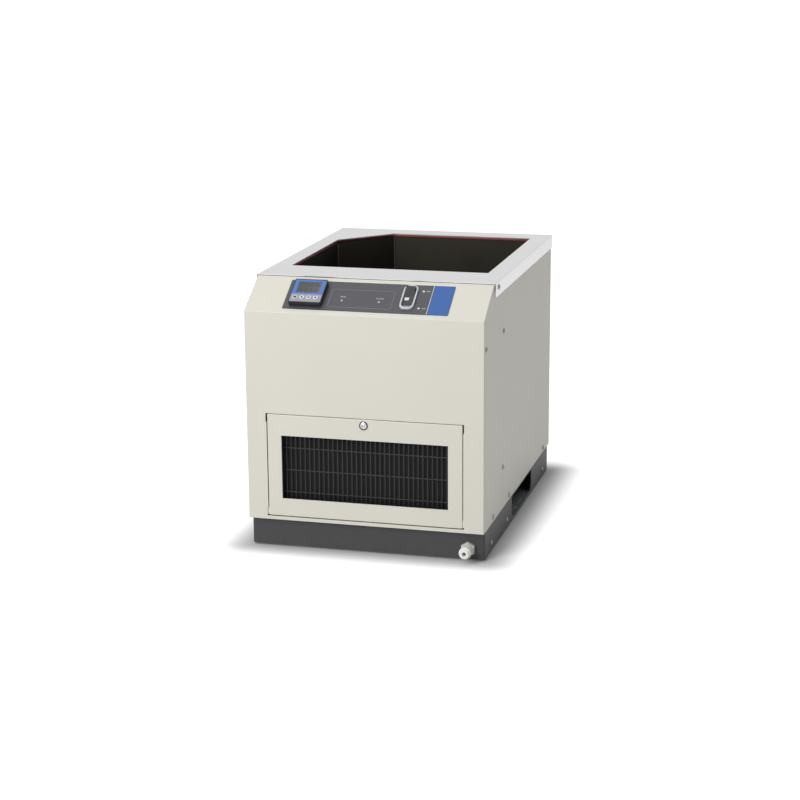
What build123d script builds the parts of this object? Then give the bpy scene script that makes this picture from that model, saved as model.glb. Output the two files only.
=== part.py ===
from build123d import *
from math import atan2, cos, radians, sin
import os

# Bench-top thermoelectric water bath. Millimetres, +Z up, +X to the right seen from the front,
# +Y to the back. The origin is on the table under the middle of the whole bath.

# Cabinet
width = 350.0
depth = 500.0
height = 390.0
sheet = 1.2
corner_radius = 1.5
bevel_depth = 65.0
bevel_rise = 40.0
front_return_depth = 120.0
panel_gap = 0.3

# Base
foot_height = 3.0
foot_diameter = 28.0
foot_inset = 34.0
base_height = 41.5
base_sheet = 2.0
base_setback_front = 12.0
base_setback_rear = 7.0
base_setback_side = 1.0
base_corner_radius = 4.0
base_lip = 15.0
hand_hole_start = 202.0
hand_hole_length = 152.0
hand_hole_height = 33.0
hand_hole_sill = 5.0
hand_hole_radius = 12.0

# Louvres in the rear panel
louvre_rows = 9
louvre_pitch = 13.0
louvre_length = 92.0
louvre_depth = 6.0
louvre_slot = 7.0
louvre_columns = (-12.0, 100.0)

# Inner frame
frame_sheet = 2.0
deck_sheet = 1.5
deck_flange = 16.0
upright_start = 100.0
upright_end = 480.0
upright_flange = 14.0
shelf_height = 161.0

# Top plate and bath
plate_sheet = 1.5
plate_flange = 20.0
plate_gap = 0.2
bath_half_width = 148.6
bath_start = 144.0
bath_length = 316.0
bath_cut_x = 73.0
bath_cut_y = 78.0
bath_depth = 175.0
tank_sheet = 1.2
tank_lip = 14.0
gasket_thickness = 4.0
gasket_width = 12.0
gasket_setback = 6.0
foam_thickness = 16.6
foam_floor = 14.0

# Door with its guard and filter
door_half_width = 144.0
door_bottom = 6.0
door_height = 151.5
door_gap = 1.0
door_return = 14.0
door_top_return = 5.0
window_half_width = 123.0
window_bottom = 26.5
window_height = 94.0
relief_length = 13.0
relief_width = 1.2
hook_reach = 7.0
wire = 1.7
wire_pitch = 7.0
rail_pitch = 33.0
rail_start = 7.0
rim_wire = 3.0
filter_thickness = 8.0
filter_height = 118.0

# Control strip, measured up the slope from its lower edge
overlay_sheet = 1.0
overlay_width = 241.0
overlay_length = 59.5
overlay_x = 0.5
overlay_v = 38.2
controller_x = -87.5
controller_size = 48.0
controller_body = 44.8
controller_stand = 8.0
controller_length = 70.0
display_width = 34.0
display_length = 22.5
display_v = 45.6
button_diameter = 7.0
button_pitch = 10.2
button_first_x = -103.4
button_v = 24.0
button_travel = 0.5
lamp_diameter = 4.0
lamp_v = 29.0
run_lamp_x = -36.5
alarm_lamp_x = 17.9
switch_x = 59.3
switch_v = 40.5
switch_width = 21.0
switch_length = 49.0
switch_stand = 3.0
switch_body_width = 18.0
switch_body_length = 43.0
switch_body_depth = 24.0
rocker_width = 13.4
rocker_length = 37.6
rocker_throw = 20.0

# Cooling
cold_plate_width = 240.0
cold_plate_length = 180.0
cold_plate_thickness = 12.0
module_size = 40.0
module_thickness = 4.0
module_pitch = 56.0
sink_width = 260.0
sink_start = 112.0
sink_length = 240.0
sink_base = 10.0
fin_height = 118.0
fin_thickness = 2.0
fin_pitch = 8.6
fan_size = 119.5
fan_depth = 25.0
fan_bore = 115.0
fan_start = 64.0
fan_spacing = 130.0
fan_lift = 3.0
fan_hub = 38.0
blade_count = 7
shaft_clearance = 0.06

# Pump, hoses and drain
pump_x = 112.0
pump_y = 425.0
pump_motor_diameter = 64.0
pump_motor_height = 70.0
pump_head_diameter = 74.0
pump_head_height = 24.0
pump_wall = 4.0
nozzle_radius = 6.0
nozzle_bore = 4.2
hose_wall = 2.0
return_x = 36.0
drain_x = 150.0
drain_height = 15.5
drain_spigot_x = 139.0
drain_spigot_y = 172.0
drain_riser_y = 50.0
drain_reach = 16.0
drain_diameter = 17.5
nut_across_flats = 19.0
nut_thickness = 7.0
tube_radius = 3.05
collet_travel = 1.2

# Screws: shank, head and the clearance hole that every screw passes
screw_diameter = 4.0
screw_length = 7.0
head_diameter = 8.0
head_height = 2.0
hole_diameter = 4.4

# Levels and faces that the pieces share
front_y = (drain_reach - depth - max(plate_gap + plate_sheet, head_height, louvre_depth)) / 2
rear_y = front_y + depth
side_x = width / 2
base_z = foot_height
deck_z = base_z + base_height
panel_z = deck_z + panel_gap
top_z = base_z + height
plate_z = top_z - plate_sheet
bevel_z = plate_z - bevel_rise
floor_z = deck_z + deck_sheet
seam_y = front_y + front_return_depth
inner_x = side_x - sheet
lining_x = inner_x - panel_gap
upright_x = lining_x - deck_sheet - panel_gap
web_x = upright_x - frame_sheet
gasket_z = plate_z - gasket_thickness
tank_rim_z = gasket_z - tank_sheet
tank_floor_z = top_z - bath_depth
tank_bottom_z = tank_floor_z - tank_sheet
upright_top_z = tank_rim_z
shelf_z = floor_z + shelf_height

# Slope of the control strip: local x along the bath, local y up the slope, local z outwards
bevel_angle = atan2(bevel_rise, bevel_depth)
bevel = Plane(
    origin=(0, front_y, bevel_z),
    x_dir=(1, 0, 0),
    z_dir=(0, -sin(bevel_angle), cos(bevel_angle)),
)

# Screw places: distance behind the front sheet and height above the table
low_screw_z = deck_z + 7.5
front_panel_screws = [(10.0, bevel_z - 41.0), (62.0, low_screw_z)]
side_panel_screws = [(175.0, low_screw_z), (447.0, low_screw_z)]
seam_screws = [(front_return_depth + 9.0, bevel_z - 39.0), (front_return_depth + 9.0, base_z + 105.0)]
plate_screws = [(85.0, top_z - 8.0)]
rear_screw_x = side_x - 9.0
rear_screws = [(rear_screw_x, base_z + z) for z in (75.0, 210.0, 345.0)]
base_screw_z = base_z + 12.5
base_screws_y = [54.0, 165.0, 445.0]


def facing(y):
    """Upright plane at y, seen from the front: local x is +X, local y is +Z, outwards is -Y."""
    return Plane.XZ.offset(-y)


def bath_outline(grow):
    """Five-sided outline of the bath opening, moved outwards by grow all round."""
    left, right = -bath_half_width, bath_half_width
    start, end = front_y + bath_start, front_y + bath_start + bath_length
    with BuildSketch() as outline:
        Polygon(
            (left, start),
            (right, start),
            (right, end),
            (left + bath_cut_x, end),
            (left, end - bath_cut_y),
            align=None,
        )
        if grow:
            offset(amount=grow, kind=Kind.INTERSECTION)
    return outline.sketch


def strip_cutouts():
    """Cut-outs of the control strip for the controller, the switch and the two lamps."""
    with BuildSketch() as cutouts:
        with Locations((controller_x, overlay_v)):
            Rectangle(controller_body + 2 * panel_gap, controller_body + 2 * panel_gap)
        with Locations((switch_x, switch_v)):
            Rectangle(switch_body_width + 2 * panel_gap, switch_body_length + 2 * panel_gap)
        with Locations((run_lamp_x, lamp_v), (alarm_lamp_x, lamp_v)):
            Circle(lamp_diameter / 2 + panel_gap)
    return cutouts.sketch


def side_holes(places, diameter=hole_diameter):
    """Cut a hole through both side walls at each place."""
    with BuildSketch(Plane.YZ.offset(-side_x - plate_flange)) as holes:
        with Locations(*[(front_y + y, z) for y, z in places]):
            Circle(diameter / 2)
    extrude(holes.sketch, amount=width + 2 * plate_flange, mode=Mode.SUBTRACT)


def side_screw_pair(y, z, seat_x):
    """Two pan-head screws, one on each side, whose heads sit on the faces at seat_x."""
    for side in (1, -1):
        face = Plane(origin=(side * seat_x, front_y + y, z), z_dir=(side, 0, 0))
        pan_head_screw(face)


def pan_head_screw(face):
    """Screw along the plane's normal, its head on the plane and its shank behind it."""
    with BuildSketch(face) as head:
        Circle(head_diameter / 2)
    extrude(head.sketch, amount=head_height, taper=18)
    with BuildSketch(face) as shank:
        Circle(screw_diameter / 2)
    extrude(shank.sketch, amount=-screw_length)


# Base skirt: four welded walls with an inward lip, a hand hole in each side and the drain hole
base_half_x = side_x - base_setback_side
base_front_y = front_y + base_setback_front
base_rear_y = rear_y - base_setback_rear
base_length = base_rear_y - base_front_y
base_mid_y = (base_front_y + base_rear_y) / 2
drain_z = base_z + drain_height
drain_stem_radius = 5.0
hand_hole_y = front_y + hand_hole_start + hand_hole_length / 2
hand_hole_z = base_z + hand_hole_sill + hand_hole_height / 2

with BuildPart() as base_skirt:
    with BuildSketch(Plane.XY.offset(base_z)):
        with Locations((0, base_mid_y)):
            RectangleRounded(2 * base_half_x, base_length, base_corner_radius)
            RectangleRounded(
                2 * (base_half_x - base_sheet),
                base_length - 2 * base_sheet,
                base_corner_radius - base_sheet / 2,
                mode=Mode.SUBTRACT,
            )
    extrude(amount=base_height)
    with BuildSketch(Plane.XY.offset(deck_z - base_sheet)):
        with Locations((0, base_mid_y)):
            RectangleRounded(2 * base_half_x, base_length, base_corner_radius)
            Rectangle(2 * (base_half_x - base_lip), base_length - 2 * base_lip, mode=Mode.SUBTRACT)
    extrude(amount=base_sheet)
    with BuildSketch(Plane.YZ.offset(-side_x)) as hand_hole:
        with Locations((hand_hole_y, hand_hole_z)):
            Rectangle(hand_hole_length, hand_hole_height)
        fillet(hand_hole.vertices().sort_by(Axis.Y)[:2], hand_hole_radius)
    extrude(amount=width, mode=Mode.SUBTRACT)
    with BuildSketch(facing(base_front_y - base_sheet)):
        with Locations((drain_x, drain_z)):
            Circle(drain_stem_radius + panel_gap)
    extrude(amount=-3 * base_sheet, mode=Mode.SUBTRACT)
    side_holes([(y, base_screw_z) for y in base_screws_y])
base_skirt.part.label = "base_skirt"
export_step(base_skirt.part, "parts/base_skirt.step")

# Bottom plate: closes the skirt from below, with an up-turned tab behind each base screw
plate_half_x = base_half_x - base_sheet - panel_gap
tab_length = 28.0
tab_height = 20.0
foot_places = [
    (side * (base_half_x - foot_inset), base_mid_y + end * (base_length / 2 - foot_inset))
    for side in (-1, 1)
    for end in (-1, 1)
]
foot_boss = 6.0
with BuildPart() as bottom_plate:
    with BuildSketch(Plane.XY.offset(base_z)):
        with Locations((0, base_mid_y)):
            RectangleRounded(
                2 * plate_half_x, base_length - 2 * (base_sheet + panel_gap), base_corner_radius
            )
        with Locations(*foot_places):
            Circle(foot_boss / 2 + panel_gap, mode=Mode.SUBTRACT)
    extrude(amount=frame_sheet)
    with BuildSketch(Plane.XY.offset(base_z)):
        with Locations(*[
            (side * (plate_half_x - frame_sheet / 2), front_y + y) for side in (-1, 1) for y in base_screws_y
        ]):
            Rectangle(frame_sheet, tab_length)
    extrude(amount=tab_height)
    side_holes([(y, base_screw_z) for y in base_screws_y])
bottom_plate.part.label = "bottom_plate"
export_step(bottom_plate.part, "parts/bottom_plate.step")

# Rubber feet: tapered discs, each with a boss pushed through the bottom plate
with BuildPart() as rubber_feet:
    with BuildSketch(Plane.XY.offset(foot_height)):
        with Locations(*foot_places):
            Circle(foot_diameter / 2)
    extrude(amount=-foot_height, taper=20)
    with BuildSketch(Plane.XY.offset(foot_height)):
        with Locations(*foot_places):
            Circle(foot_boss / 2)
    extrude(amount=frame_sheet + 2)
rubber_feet.part.label = "rubber_feet"
export_step(rubber_feet.part, "parts/rubber_feet.step")

# Deck plate: floor of the cabinet, with up-turned flanges that take the low panel screws
deck_front_y = front_y + 31.0
deck_rear_y = rear_y - sheet - panel_gap - 4.0
with BuildPart() as deck_plate:
    with BuildSketch(Plane.XZ.offset(-deck_front_y)):
        with BuildLine():
            Polyline(
                (-lining_x, deck_z + deck_flange),
                (-lining_x, deck_z),
                (lining_x, deck_z),
                (lining_x, deck_z + deck_flange),
                (lining_x - deck_sheet, deck_z + deck_flange),
                (lining_x - deck_sheet, deck_z + deck_sheet),
                (-lining_x + deck_sheet, deck_z + deck_sheet),
                (-lining_x + deck_sheet, deck_z + deck_flange),
                (-lining_x, deck_z + deck_flange),
            )
        make_face()
    extrude(amount=-(deck_rear_y - deck_front_y))
    with BuildSketch(Plane.XY.offset(deck_z)):
        with Locations((drain_x, front_y + drain_riser_y)):
            Circle(nozzle_radius + hose_wall + 1)
    extrude(amount=deck_sheet, mode=Mode.SUBTRACT)
    side_holes([(62.0, low_screw_z)] + side_panel_screws)
deck_plate.part.label = "deck_plate"
export_step(deck_plate.part, "parts/deck_plate.step")

# Front panel: one folded sheet with the front face, the bevel, the flange under the top plate,
# the returns down both sides and the stepped strips that the side panels are screwed to
front_lip = 30.0
top_lip = 15.0
strip_width = 18.0
strip_bottom_z = deck_z + deck_flange + 2.0
strip_top_z = plate_z - 8.0
door_z = panel_z + door_bottom
door_top_z = door_z + door_height
door_mid_z = (door_z + door_top_z) / 2
hinge_z = door_z + relief_length - 1.5
hinge_y = front_y + sheet + panel_gap
latch_z = door_top_z - 9.0
latch_tab_y = front_y + 7.2
latch_tab_half = 15.0
latch_tab_bottom_z = latch_z - 9.0
with BuildPart() as front_panel:
    with BuildSketch(Plane.YZ.offset(-side_x)):
        Polygon(
            (front_y, panel_z),
            (seam_y, panel_z),
            (seam_y, plate_z),
            (front_y + bevel_depth, plate_z),
            (front_y, bevel_z),
            align=None,
        )
    extrude(amount=width)
    front_edges = front_panel.edges().filter_by(lambda e: abs(abs(e.center().X) - side_x) < 0.01)
    front_edges = front_edges.filter_by(lambda e: e.center().Y < front_y + bevel_depth / 2 + 1)
    front_edges = front_edges.filter_by(lambda e: e.center().Z > panel_z + 1)
    crease = front_panel.edges().filter_by(Axis.X).filter_by(lambda e: abs(e.center().Z - bevel_z) < 0.01)
    fillet(front_edges + crease, corner_radius)
    offset(amount=-sheet, openings=front_panel.faces().sort_by(Axis.Y)[-1:])
    with BuildSketch(Plane.XY.offset(panel_z - 1)):
        with Locations((0, (front_y + front_lip + seam_y) / 2 + 5)):
            Rectangle(2 * inner_x, seam_y - front_y - front_lip + 10)
    extrude(amount=sheet + 1.5, mode=Mode.SUBTRACT)
    with BuildSketch(Plane.XY.offset(plate_z + 1)):
        with Locations((0, (front_y + bevel_depth + top_lip + seam_y) / 2 + 5)):
            Rectangle(2 * inner_x, seam_y - front_y - bevel_depth - top_lip + 10)
    extrude(amount=-sheet - 1.5, mode=Mode.SUBTRACT)
    with BuildSketch(Plane.XY.offset(strip_bottom_z)) as strips:
        with Locations((inner_x - (sheet + panel_gap) / 2, seam_y - 3)):
            Rectangle(sheet + panel_gap, 4)
        with Locations((lining_x - sheet / 2, seam_y - 5 + (strip_width + 5) / 2)):
            Rectangle(sheet, strip_width + 5)
        mirror(about=Plane.YZ)
    extrude(amount=strip_top_z - strip_bottom_z)
    with BuildSketch(facing(front_y)):
        with Locations((0, door_mid_z)):
            Rectangle(2 * (door_half_width + door_gap), door_height + 2 * door_gap)
        relief_z = door_height / 2 + door_gap - relief_length / 2
        with Locations((0, door_mid_z)):
            with GridLocations(2 * (door_half_width + door_gap), 2 * relief_z, 2, 2):
                Rectangle(2 * relief_width, relief_length)
    extrude(amount=-sheet, mode=Mode.SUBTRACT)
    with BuildSketch(Plane.YZ.offset(-latch_tab_half)):
        Polygon(
            (front_y, door_top_z + door_gap),
            (latch_tab_y, door_top_z + door_gap),
            (latch_tab_y, latch_tab_bottom_z),
            (latch_tab_y + sheet, latch_tab_bottom_z),
            (latch_tab_y + sheet, door_top_z + door_gap + sheet),
            (front_y, door_top_z + door_gap + sheet),
            align=None,
        )
    extrude(amount=2 * latch_tab_half)
    with BuildSketch(facing(latch_tab_y)):
        with Locations((0, latch_z)):
            Circle(7.0)
    extrude(amount=-sheet, mode=Mode.SUBTRACT)
    with BuildSketch(bevel):
        add(strip_cutouts())
    extrude(amount=-2 * sheet, mode=Mode.SUBTRACT)
    side_holes(front_panel_screws + seam_screws + plate_screws)
front_panel.part.label = "front_panel"
export_step(front_panel.part, "parts/front_panel.step")

# Side panels: flat sheets behind the seam, each with a return flange at the back
side_start_y = seam_y + panel_gap
return_y = rear_y - sheet - panel_gap
return_width = 20.0
for side, label in ((-1, "side_panel_left"), (1, "side_panel_right")):
    with BuildPart() as side_panel:
        with BuildSketch(Plane.XY.offset(panel_z)) as section:
            with BuildLine():
                Polyline(
                    (side * side_x, side_start_y),
                    (side * side_x, return_y),
                    (side * (side_x - return_width), return_y),
                    (side * (side_x - return_width), return_y - sheet),
                    (side * inner_x, return_y - sheet),
                    (side * inner_x, side_start_y),
                    (side * side_x, side_start_y),
                )
            make_face()
            bend = section.vertices().sort_by(Axis.Y).group_by(Axis.Y)[-1]
            fillet(bend.sort_by(lambda v: -abs(v.X))[:1], corner_radius)
        extrude(amount=plate_z - panel_gap - panel_z)
        side_holes([(y, z) for y, z in seam_screws + side_panel_screws])
        with BuildSketch(facing(return_y)):
            with Locations(*[(side * x, z) for x, z in rear_screws]):
                Circle(hole_diameter / 2)
        extrude(amount=2 * sheet, mode=Mode.SUBTRACT)
    side_panel.part.label = label
    export_step(side_panel.part, f"parts/{label}.step")

# Rear panel: flat sheet over the side returns, with two columns of pressed louvres for the warm
# air and the cut-out of the mains inlet
louvre_bottom_z = deck_z + 32.0
louvre_z = [louvre_bottom_z + row * louvre_pitch for row in range(louvre_rows)]
inlet_x = -120.0
inlet_z = deck_z + 45.0
inlet_width = 27.0
inlet_height = 20.0
with BuildPart() as rear_panel:
    with BuildSketch(facing(rear_y)):
        with Locations((0, (panel_z + plate_z - panel_gap) / 2)):
            Rectangle(width - 2 * panel_gap, plate_z - panel_gap - panel_z)
        with Locations(*[(s * x, z) for s in (-1, 1) for x, z in rear_screws]):
            Circle(hole_diameter / 2, mode=Mode.SUBTRACT)
        with Locations((inlet_x, inlet_z)):
            Rectangle(inlet_width + 2 * panel_gap, inlet_height + 2 * panel_gap, mode=Mode.SUBTRACT)
        with Locations(*[(x, z + louvre_slot / 2) for x in louvre_columns for z in louvre_z]):
            Rectangle(louvre_length - 2 * sheet, louvre_slot, mode=Mode.SUBTRACT)
    extrude(amount=sheet)
    for column in louvre_columns:
        for end in (-louvre_length / 2, louvre_length / 2 - sheet):
            with BuildSketch(Plane.YZ.offset(column + end)):
                for z in louvre_z:
                    Polygon(
                        (rear_y - sheet / 2, z),
                        (rear_y + louvre_depth, z),
                        (rear_y - sheet / 2, z + louvre_slot + 2 * sheet),
                        align=None,
                    )
            extrude(amount=sheet)
        with BuildSketch(Plane.YZ.offset(column - louvre_length / 2)):
            for z in louvre_z:
                Polygon(
                    (rear_y + louvre_depth - sheet, z),
                    (rear_y + louvre_depth, z),
                    (rear_y - sheet / 2, z + louvre_slot + 2 * sheet),
                    (rear_y - sheet / 2, z + louvre_slot),
                    align=None,
                )
        extrude(amount=louvre_length)
rear_panel.part.label = "rear_panel"
export_step(rear_panel.part, "parts/rear_panel.step")

# Top plate: folded stainless sheet with three flanges, open at the front over the bevel, with the
# bath opening and a relief notch at each front corner
plate_x = side_x + plate_gap + plate_sheet
plate_front_y = front_y + bevel_depth
plate_rear_y = rear_y + plate_gap + plate_sheet
plate_bend = plate_sheet + plate_gap
with BuildPart() as top_plate:
    with BuildSketch(Plane.XY.offset(top_z)):
        with Locations((0, (plate_front_y + plate_rear_y) / 2)):
            Rectangle(2 * plate_x, plate_rear_y - plate_front_y)
    extrude(amount=-plate_flange)
    folds = top_plate.edges().group_by(Axis.Z)[-1].sort_by(Axis.Y)[1:]
    corners = top_plate.edges().filter_by(Axis.Z).group_by(Axis.Y)[-1]
    fillet(folds + corners, plate_bend)
    underside = top_plate.faces().sort_by(Axis.Z)[0]
    front_side = top_plate.faces().sort_by(Axis.Y)[0]
    offset(amount=-plate_sheet, openings=[underside, front_side])
    with BuildSketch(Plane.XY.offset(top_z)):
        add(bath_outline(0))
        with Locations((plate_x - plate_bend, plate_front_y), (plate_bend - plate_x, plate_front_y)):
            Circle(plate_sheet)
    extrude(amount=-plate_flange / 2, mode=Mode.SUBTRACT)
    side_holes(plate_screws)
top_plate.part.label = "top_plate"
export_step(top_plate.part, "parts/top_plate.step")

# Gasket: soft ring between the top plate and the rim of the tank, set back along the cut corner
bath_left = -bath_half_width
bath_end_y = front_y + bath_start + bath_length
with BuildPart() as tank_gasket:
    with BuildSketch(Plane.XY.offset(gasket_z)):
        add(bath_outline(gasket_width))
        add(bath_outline(0), mode=Mode.SUBTRACT)
        Polygon(
            (bath_left, bath_end_y - bath_cut_y),
            (bath_left + bath_cut_x, bath_end_y),
            (bath_left + bath_cut_x - gasket_setback, bath_end_y),
            (bath_left, bath_end_y - bath_cut_y + gasket_setback),
            align=None,
            mode=Mode.SUBTRACT,
        )
    extrude(amount=gasket_thickness)
tank_gasket.part.label = "tank_gasket"
export_step(tank_gasket.part, "parts/tank_gasket.step")

# Tank: welded five-sided vessel with an outward rim and three spigots under its floor
tank_inset = 1.0
spigot_length = 14.0
pump_mid_y = front_y + pump_y
outlet_y = pump_mid_y + pump_head_diameter / 2 - pump_wall - nozzle_radius
spigots = [(pump_x, pump_mid_y), (return_x, outlet_y), (drain_spigot_x, front_y + drain_spigot_y)]
with BuildPart() as tank:
    with BuildSketch(Plane.XY.offset(tank_bottom_z)):
        add(bath_outline(tank_inset + tank_sheet))
    extrude(amount=gasket_z - tank_bottom_z)
    with BuildSketch(Plane.XY.offset(tank_rim_z)):
        add(bath_outline(tank_lip))
    extrude(amount=tank_sheet)
    with BuildSketch(Plane.XY.offset(tank_floor_z)):
        add(bath_outline(tank_inset))
    extrude(amount=gasket_z - tank_floor_z, mode=Mode.SUBTRACT)
    with BuildSketch(Plane.XY.offset(tank_bottom_z)):
        with Locations(*spigots):
            Circle(nozzle_radius)
    extrude(amount=-spigot_length)
    with BuildSketch(Plane.XY.offset(tank_floor_z)):
        with Locations(*spigots):
            Circle(nozzle_bore)
    extrude(amount=-spigot_length - tank_sheet, mode=Mode.SUBTRACT)
tank.part.label = "tank"
export_step(tank.part, "parts/tank.step")

# Foam jacket round the tank, open underneath for the cold plate and the three hoses
foam_top_z = upright_top_z - frame_sheet - panel_gap
foam_bottom_z = tank_bottom_z - foam_floor
cold_plate_mid_y = front_y + sink_start + sink_length / 2
cold_plate_front_y = cold_plate_mid_y - cold_plate_length / 2
sensor_collar = 4.0
sensor_head = 8.0
hose_radius = nozzle_radius + hose_wall
with BuildPart() as tank_insulation:
    with BuildSketch(Plane.XY.offset(foam_bottom_z)):
        add(bath_outline(tank_inset + tank_sheet + panel_gap + foam_thickness))
    extrude(amount=foam_top_z - foam_bottom_z)
    with BuildSketch(Plane.XY.offset(tank_bottom_z - panel_gap)):
        add(bath_outline(tank_inset + tank_sheet + panel_gap))
    extrude(amount=foam_top_z - tank_bottom_z + panel_gap, mode=Mode.SUBTRACT)
    with BuildSketch(Plane.XY.offset(foam_bottom_z)):
        with Locations((0, cold_plate_mid_y)):
            Rectangle(cold_plate_width + 2, cold_plate_length + 2)
        with Locations((0, cold_plate_front_y - sensor_head / 2)):
            Rectangle(2 * sensor_collar + 2, sensor_head + 2)
        with Locations(*spigots):
            Circle(hose_radius + 1)
    extrude(amount=foam_floor, mode=Mode.SUBTRACT)
tank_insulation.part.label = "tank_insulation"
export_step(tank_insulation.part, "parts/tank_insulation.step")

# Uprights: side frames from the deck to the tank rim, with an arm forward under the bevel
upright_points = [
    (front_y + upright_start, floor_z),
    (front_y + upright_end, floor_z),
    (front_y + upright_end, upright_top_z),
    (front_y + bevel_depth + 4, upright_top_z),
    (front_y + 5, bevel_z - 8),
    (front_y + 5, shelf_z - 14),
    (front_y + upright_start, shelf_z - 14),
]
for side, label in ((-1, "left_upright"), (1, "right_upright")):
    with BuildPart() as upright:
        with BuildSketch(Plane.YZ.offset(side * web_x)):
            Polygon(*upright_points, align=None)
        extrude(amount=side * frame_sheet)
        flange_x = side * (web_x - upright_flange / 2)
        with BuildSketch(Plane.XY.offset(floor_z)):
            with Locations((flange_x, front_y + (upright_start + upright_end) / 2)):
                Rectangle(upright_flange, upright_end - upright_start)
        extrude(amount=frame_sheet)
        with BuildSketch(Plane.XY.offset(upright_top_z)):
            with Locations((flange_x, front_y + (front_return_depth + upright_end) / 2 + 2)):
                Rectangle(upright_flange, upright_end - front_return_depth - 4)
        extrude(amount=-frame_sheet)
        side_holes(front_panel_screws[:1] + seam_screws + side_panel_screws + plate_screws)
    upright.part.label = label
    export_step(upright.part, f"parts/{label}.step")

# Equipment shelf between the two uprights, under the control strip
shelf_x = web_x - panel_gap
shelf_front_y = front_y + 8.0
shelf_rear_y = front_y + bath_start - foam_thickness - 6.0
shelf_flange = 12.0
with BuildPart() as equipment_shelf:
    with BuildSketch(Plane.XZ.offset(-shelf_front_y)):
        with Locations((0, shelf_z + frame_sheet / 2)):
            Rectangle(2 * shelf_x, frame_sheet)
        with Locations(*[(s * (shelf_x - frame_sheet / 2), shelf_z + shelf_flange / 2) for s in (-1, 1)]):
            Rectangle(frame_sheet, shelf_flange)
    extrude(amount=-(shelf_rear_y - shelf_front_y))
equipment_shelf.part.label = "equipment_shelf"
export_step(equipment_shelf.part, "parts/equipment_shelf.step")

# Control overlay: printed plate on the bevel
with BuildPart() as panel_overlay:
    with BuildSketch(bevel):
        with Locations((overlay_x, overlay_v)):
            RectangleRounded(overlay_width, overlay_length, corner_radius)
        add(strip_cutouts(), mode=Mode.SUBTRACT)
    extrude(amount=overlay_sheet)
panel_overlay.part.label = "panel_overlay"
export_step(panel_overlay.part, "parts/panel_overlay.step")

# Controller: heights w are counted outwards from the bevel
controller_top_w = overlay_sheet + controller_stand
controller_rim = 1.2
face_sheet = 1.2
face_recess = 1.5
face_size = controller_size - 2 * controller_rim
pocket_depth = 2.2
flange_reach = 0.6
button_flange = 0.9
button_hole = button_diameter / 2 + 0.25
button_proud = 0.7
face_back_w = controller_top_w - face_recess
pocket_floor_w = face_back_w - pocket_depth
button_places = [(button_first_x + i * button_pitch, button_v) for i in range(4)]
display_place = (controller_x, display_v)

with BuildPart() as controller_case:
    with BuildSketch(bevel.offset(overlay_sheet)):
        with Locations((controller_x, overlay_v)):
            RectangleRounded(controller_size, controller_size, corner_radius)
    extrude(amount=controller_stand)
    with BuildSketch(bevel.offset(overlay_sheet)):
        with Locations((controller_x, overlay_v)):
            Rectangle(controller_body, controller_body)
    extrude(amount=-controller_length)
    with BuildSketch(bevel.offset(face_back_w)):
        with Locations((controller_x, overlay_v)):
            RectangleRounded(face_size + panel_gap, face_size + panel_gap, 1.0)
    extrude(amount=face_recess, mode=Mode.SUBTRACT)
    with BuildSketch(bevel.offset(pocket_floor_w)):
        with Locations(display_place):
            Rectangle(display_width, display_length)
        with Locations(*button_places):
            Circle(button_diameter / 2 + flange_reach + panel_gap)
    extrude(amount=pocket_depth, mode=Mode.SUBTRACT)
controller_case.part.label = "controller_case"
export_step(controller_case.part, "parts/controller_case.step")

with BuildPart() as controller_face:
    with BuildSketch(bevel.offset(face_back_w)):
        with Locations((controller_x, overlay_v)):
            RectangleRounded(face_size, face_size, 1.0)
        with Locations(display_place):
            Rectangle(display_width, display_length, mode=Mode.SUBTRACT)
        with Locations(*button_places):
            Circle(button_hole, mode=Mode.SUBTRACT)
    extrude(amount=face_sheet)
controller_face.part.label = "controller_face"
export_step(controller_face.part, "parts/controller_face.step")

with BuildPart() as controller_display:
    with BuildSketch(bevel.offset(pocket_floor_w)):
        with Locations(display_place):
            Rectangle(display_width - panel_gap, display_length - panel_gap)
    extrude(amount=pocket_depth + face_sheet - panel_gap)
controller_display.part.label = "controller_display"
export_step(controller_display.part, "parts/controller_display.step")

# Mounting frame that grips the controller's body from behind the sheet
clamp_width = 4.0
clamp_depth = 9.0
with BuildPart() as controller_clamp:
    with BuildSketch(bevel.offset(-sheet - panel_gap)):
        with Locations((controller_x, overlay_v)):
            clamp_inner = controller_body + panel_gap
            RectangleRounded(clamp_inner + 2 * clamp_width, clamp_inner + 2 * clamp_width, 2.0)
            Rectangle(clamp_inner, clamp_inner, mode=Mode.SUBTRACT)
    extrude(amount=-clamp_depth)
controller_clamp.part.label = "controller_clamp"
export_step(controller_clamp.part, "parts/controller_clamp.step")

# Buttons: a cap through the face and a flange behind it that keeps it in
button_flange_w = face_back_w - panel_gap - button_flange
for number, place in enumerate(button_places, start=1):
    with BuildPart() as button:
        with BuildSketch(bevel.offset(button_flange_w)):
            with Locations(place):
                Circle(button_diameter / 2 + flange_reach)
        extrude(amount=button_flange)
        with BuildSketch(bevel.offset(button_flange_w)):
            with Locations(place):
                Circle(button_diameter / 2)
        extrude(amount=face_back_w + face_sheet + button_proud - button_flange_w)
    button.part.label = f"button_{number}"
    export_step(button.part, f"parts/button_{number}.step")

# Lamps: domed lenses in the overlay
lamp_body = 9.0
lamp_proud = 0.9
bevel_normal = Axis(bevel.origin, bevel.z_dir)
for label, lamp_x in (("run_lamp", run_lamp_x), ("alarm_lamp", alarm_lamp_x)):
    with BuildPart() as lamp:
        with BuildSketch(bevel.offset(overlay_sheet - lamp_body)):
            with Locations((lamp_x, lamp_v)):
                Circle(lamp_diameter / 2)
        extrude(amount=lamp_body + lamp_proud)
        fillet(lamp.edges().sort_by(bevel_normal)[-1:], 0.8 * lamp_proud)
    lamp.part.label = label
    export_step(lamp.part, f"parts/{label}.step")

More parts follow.
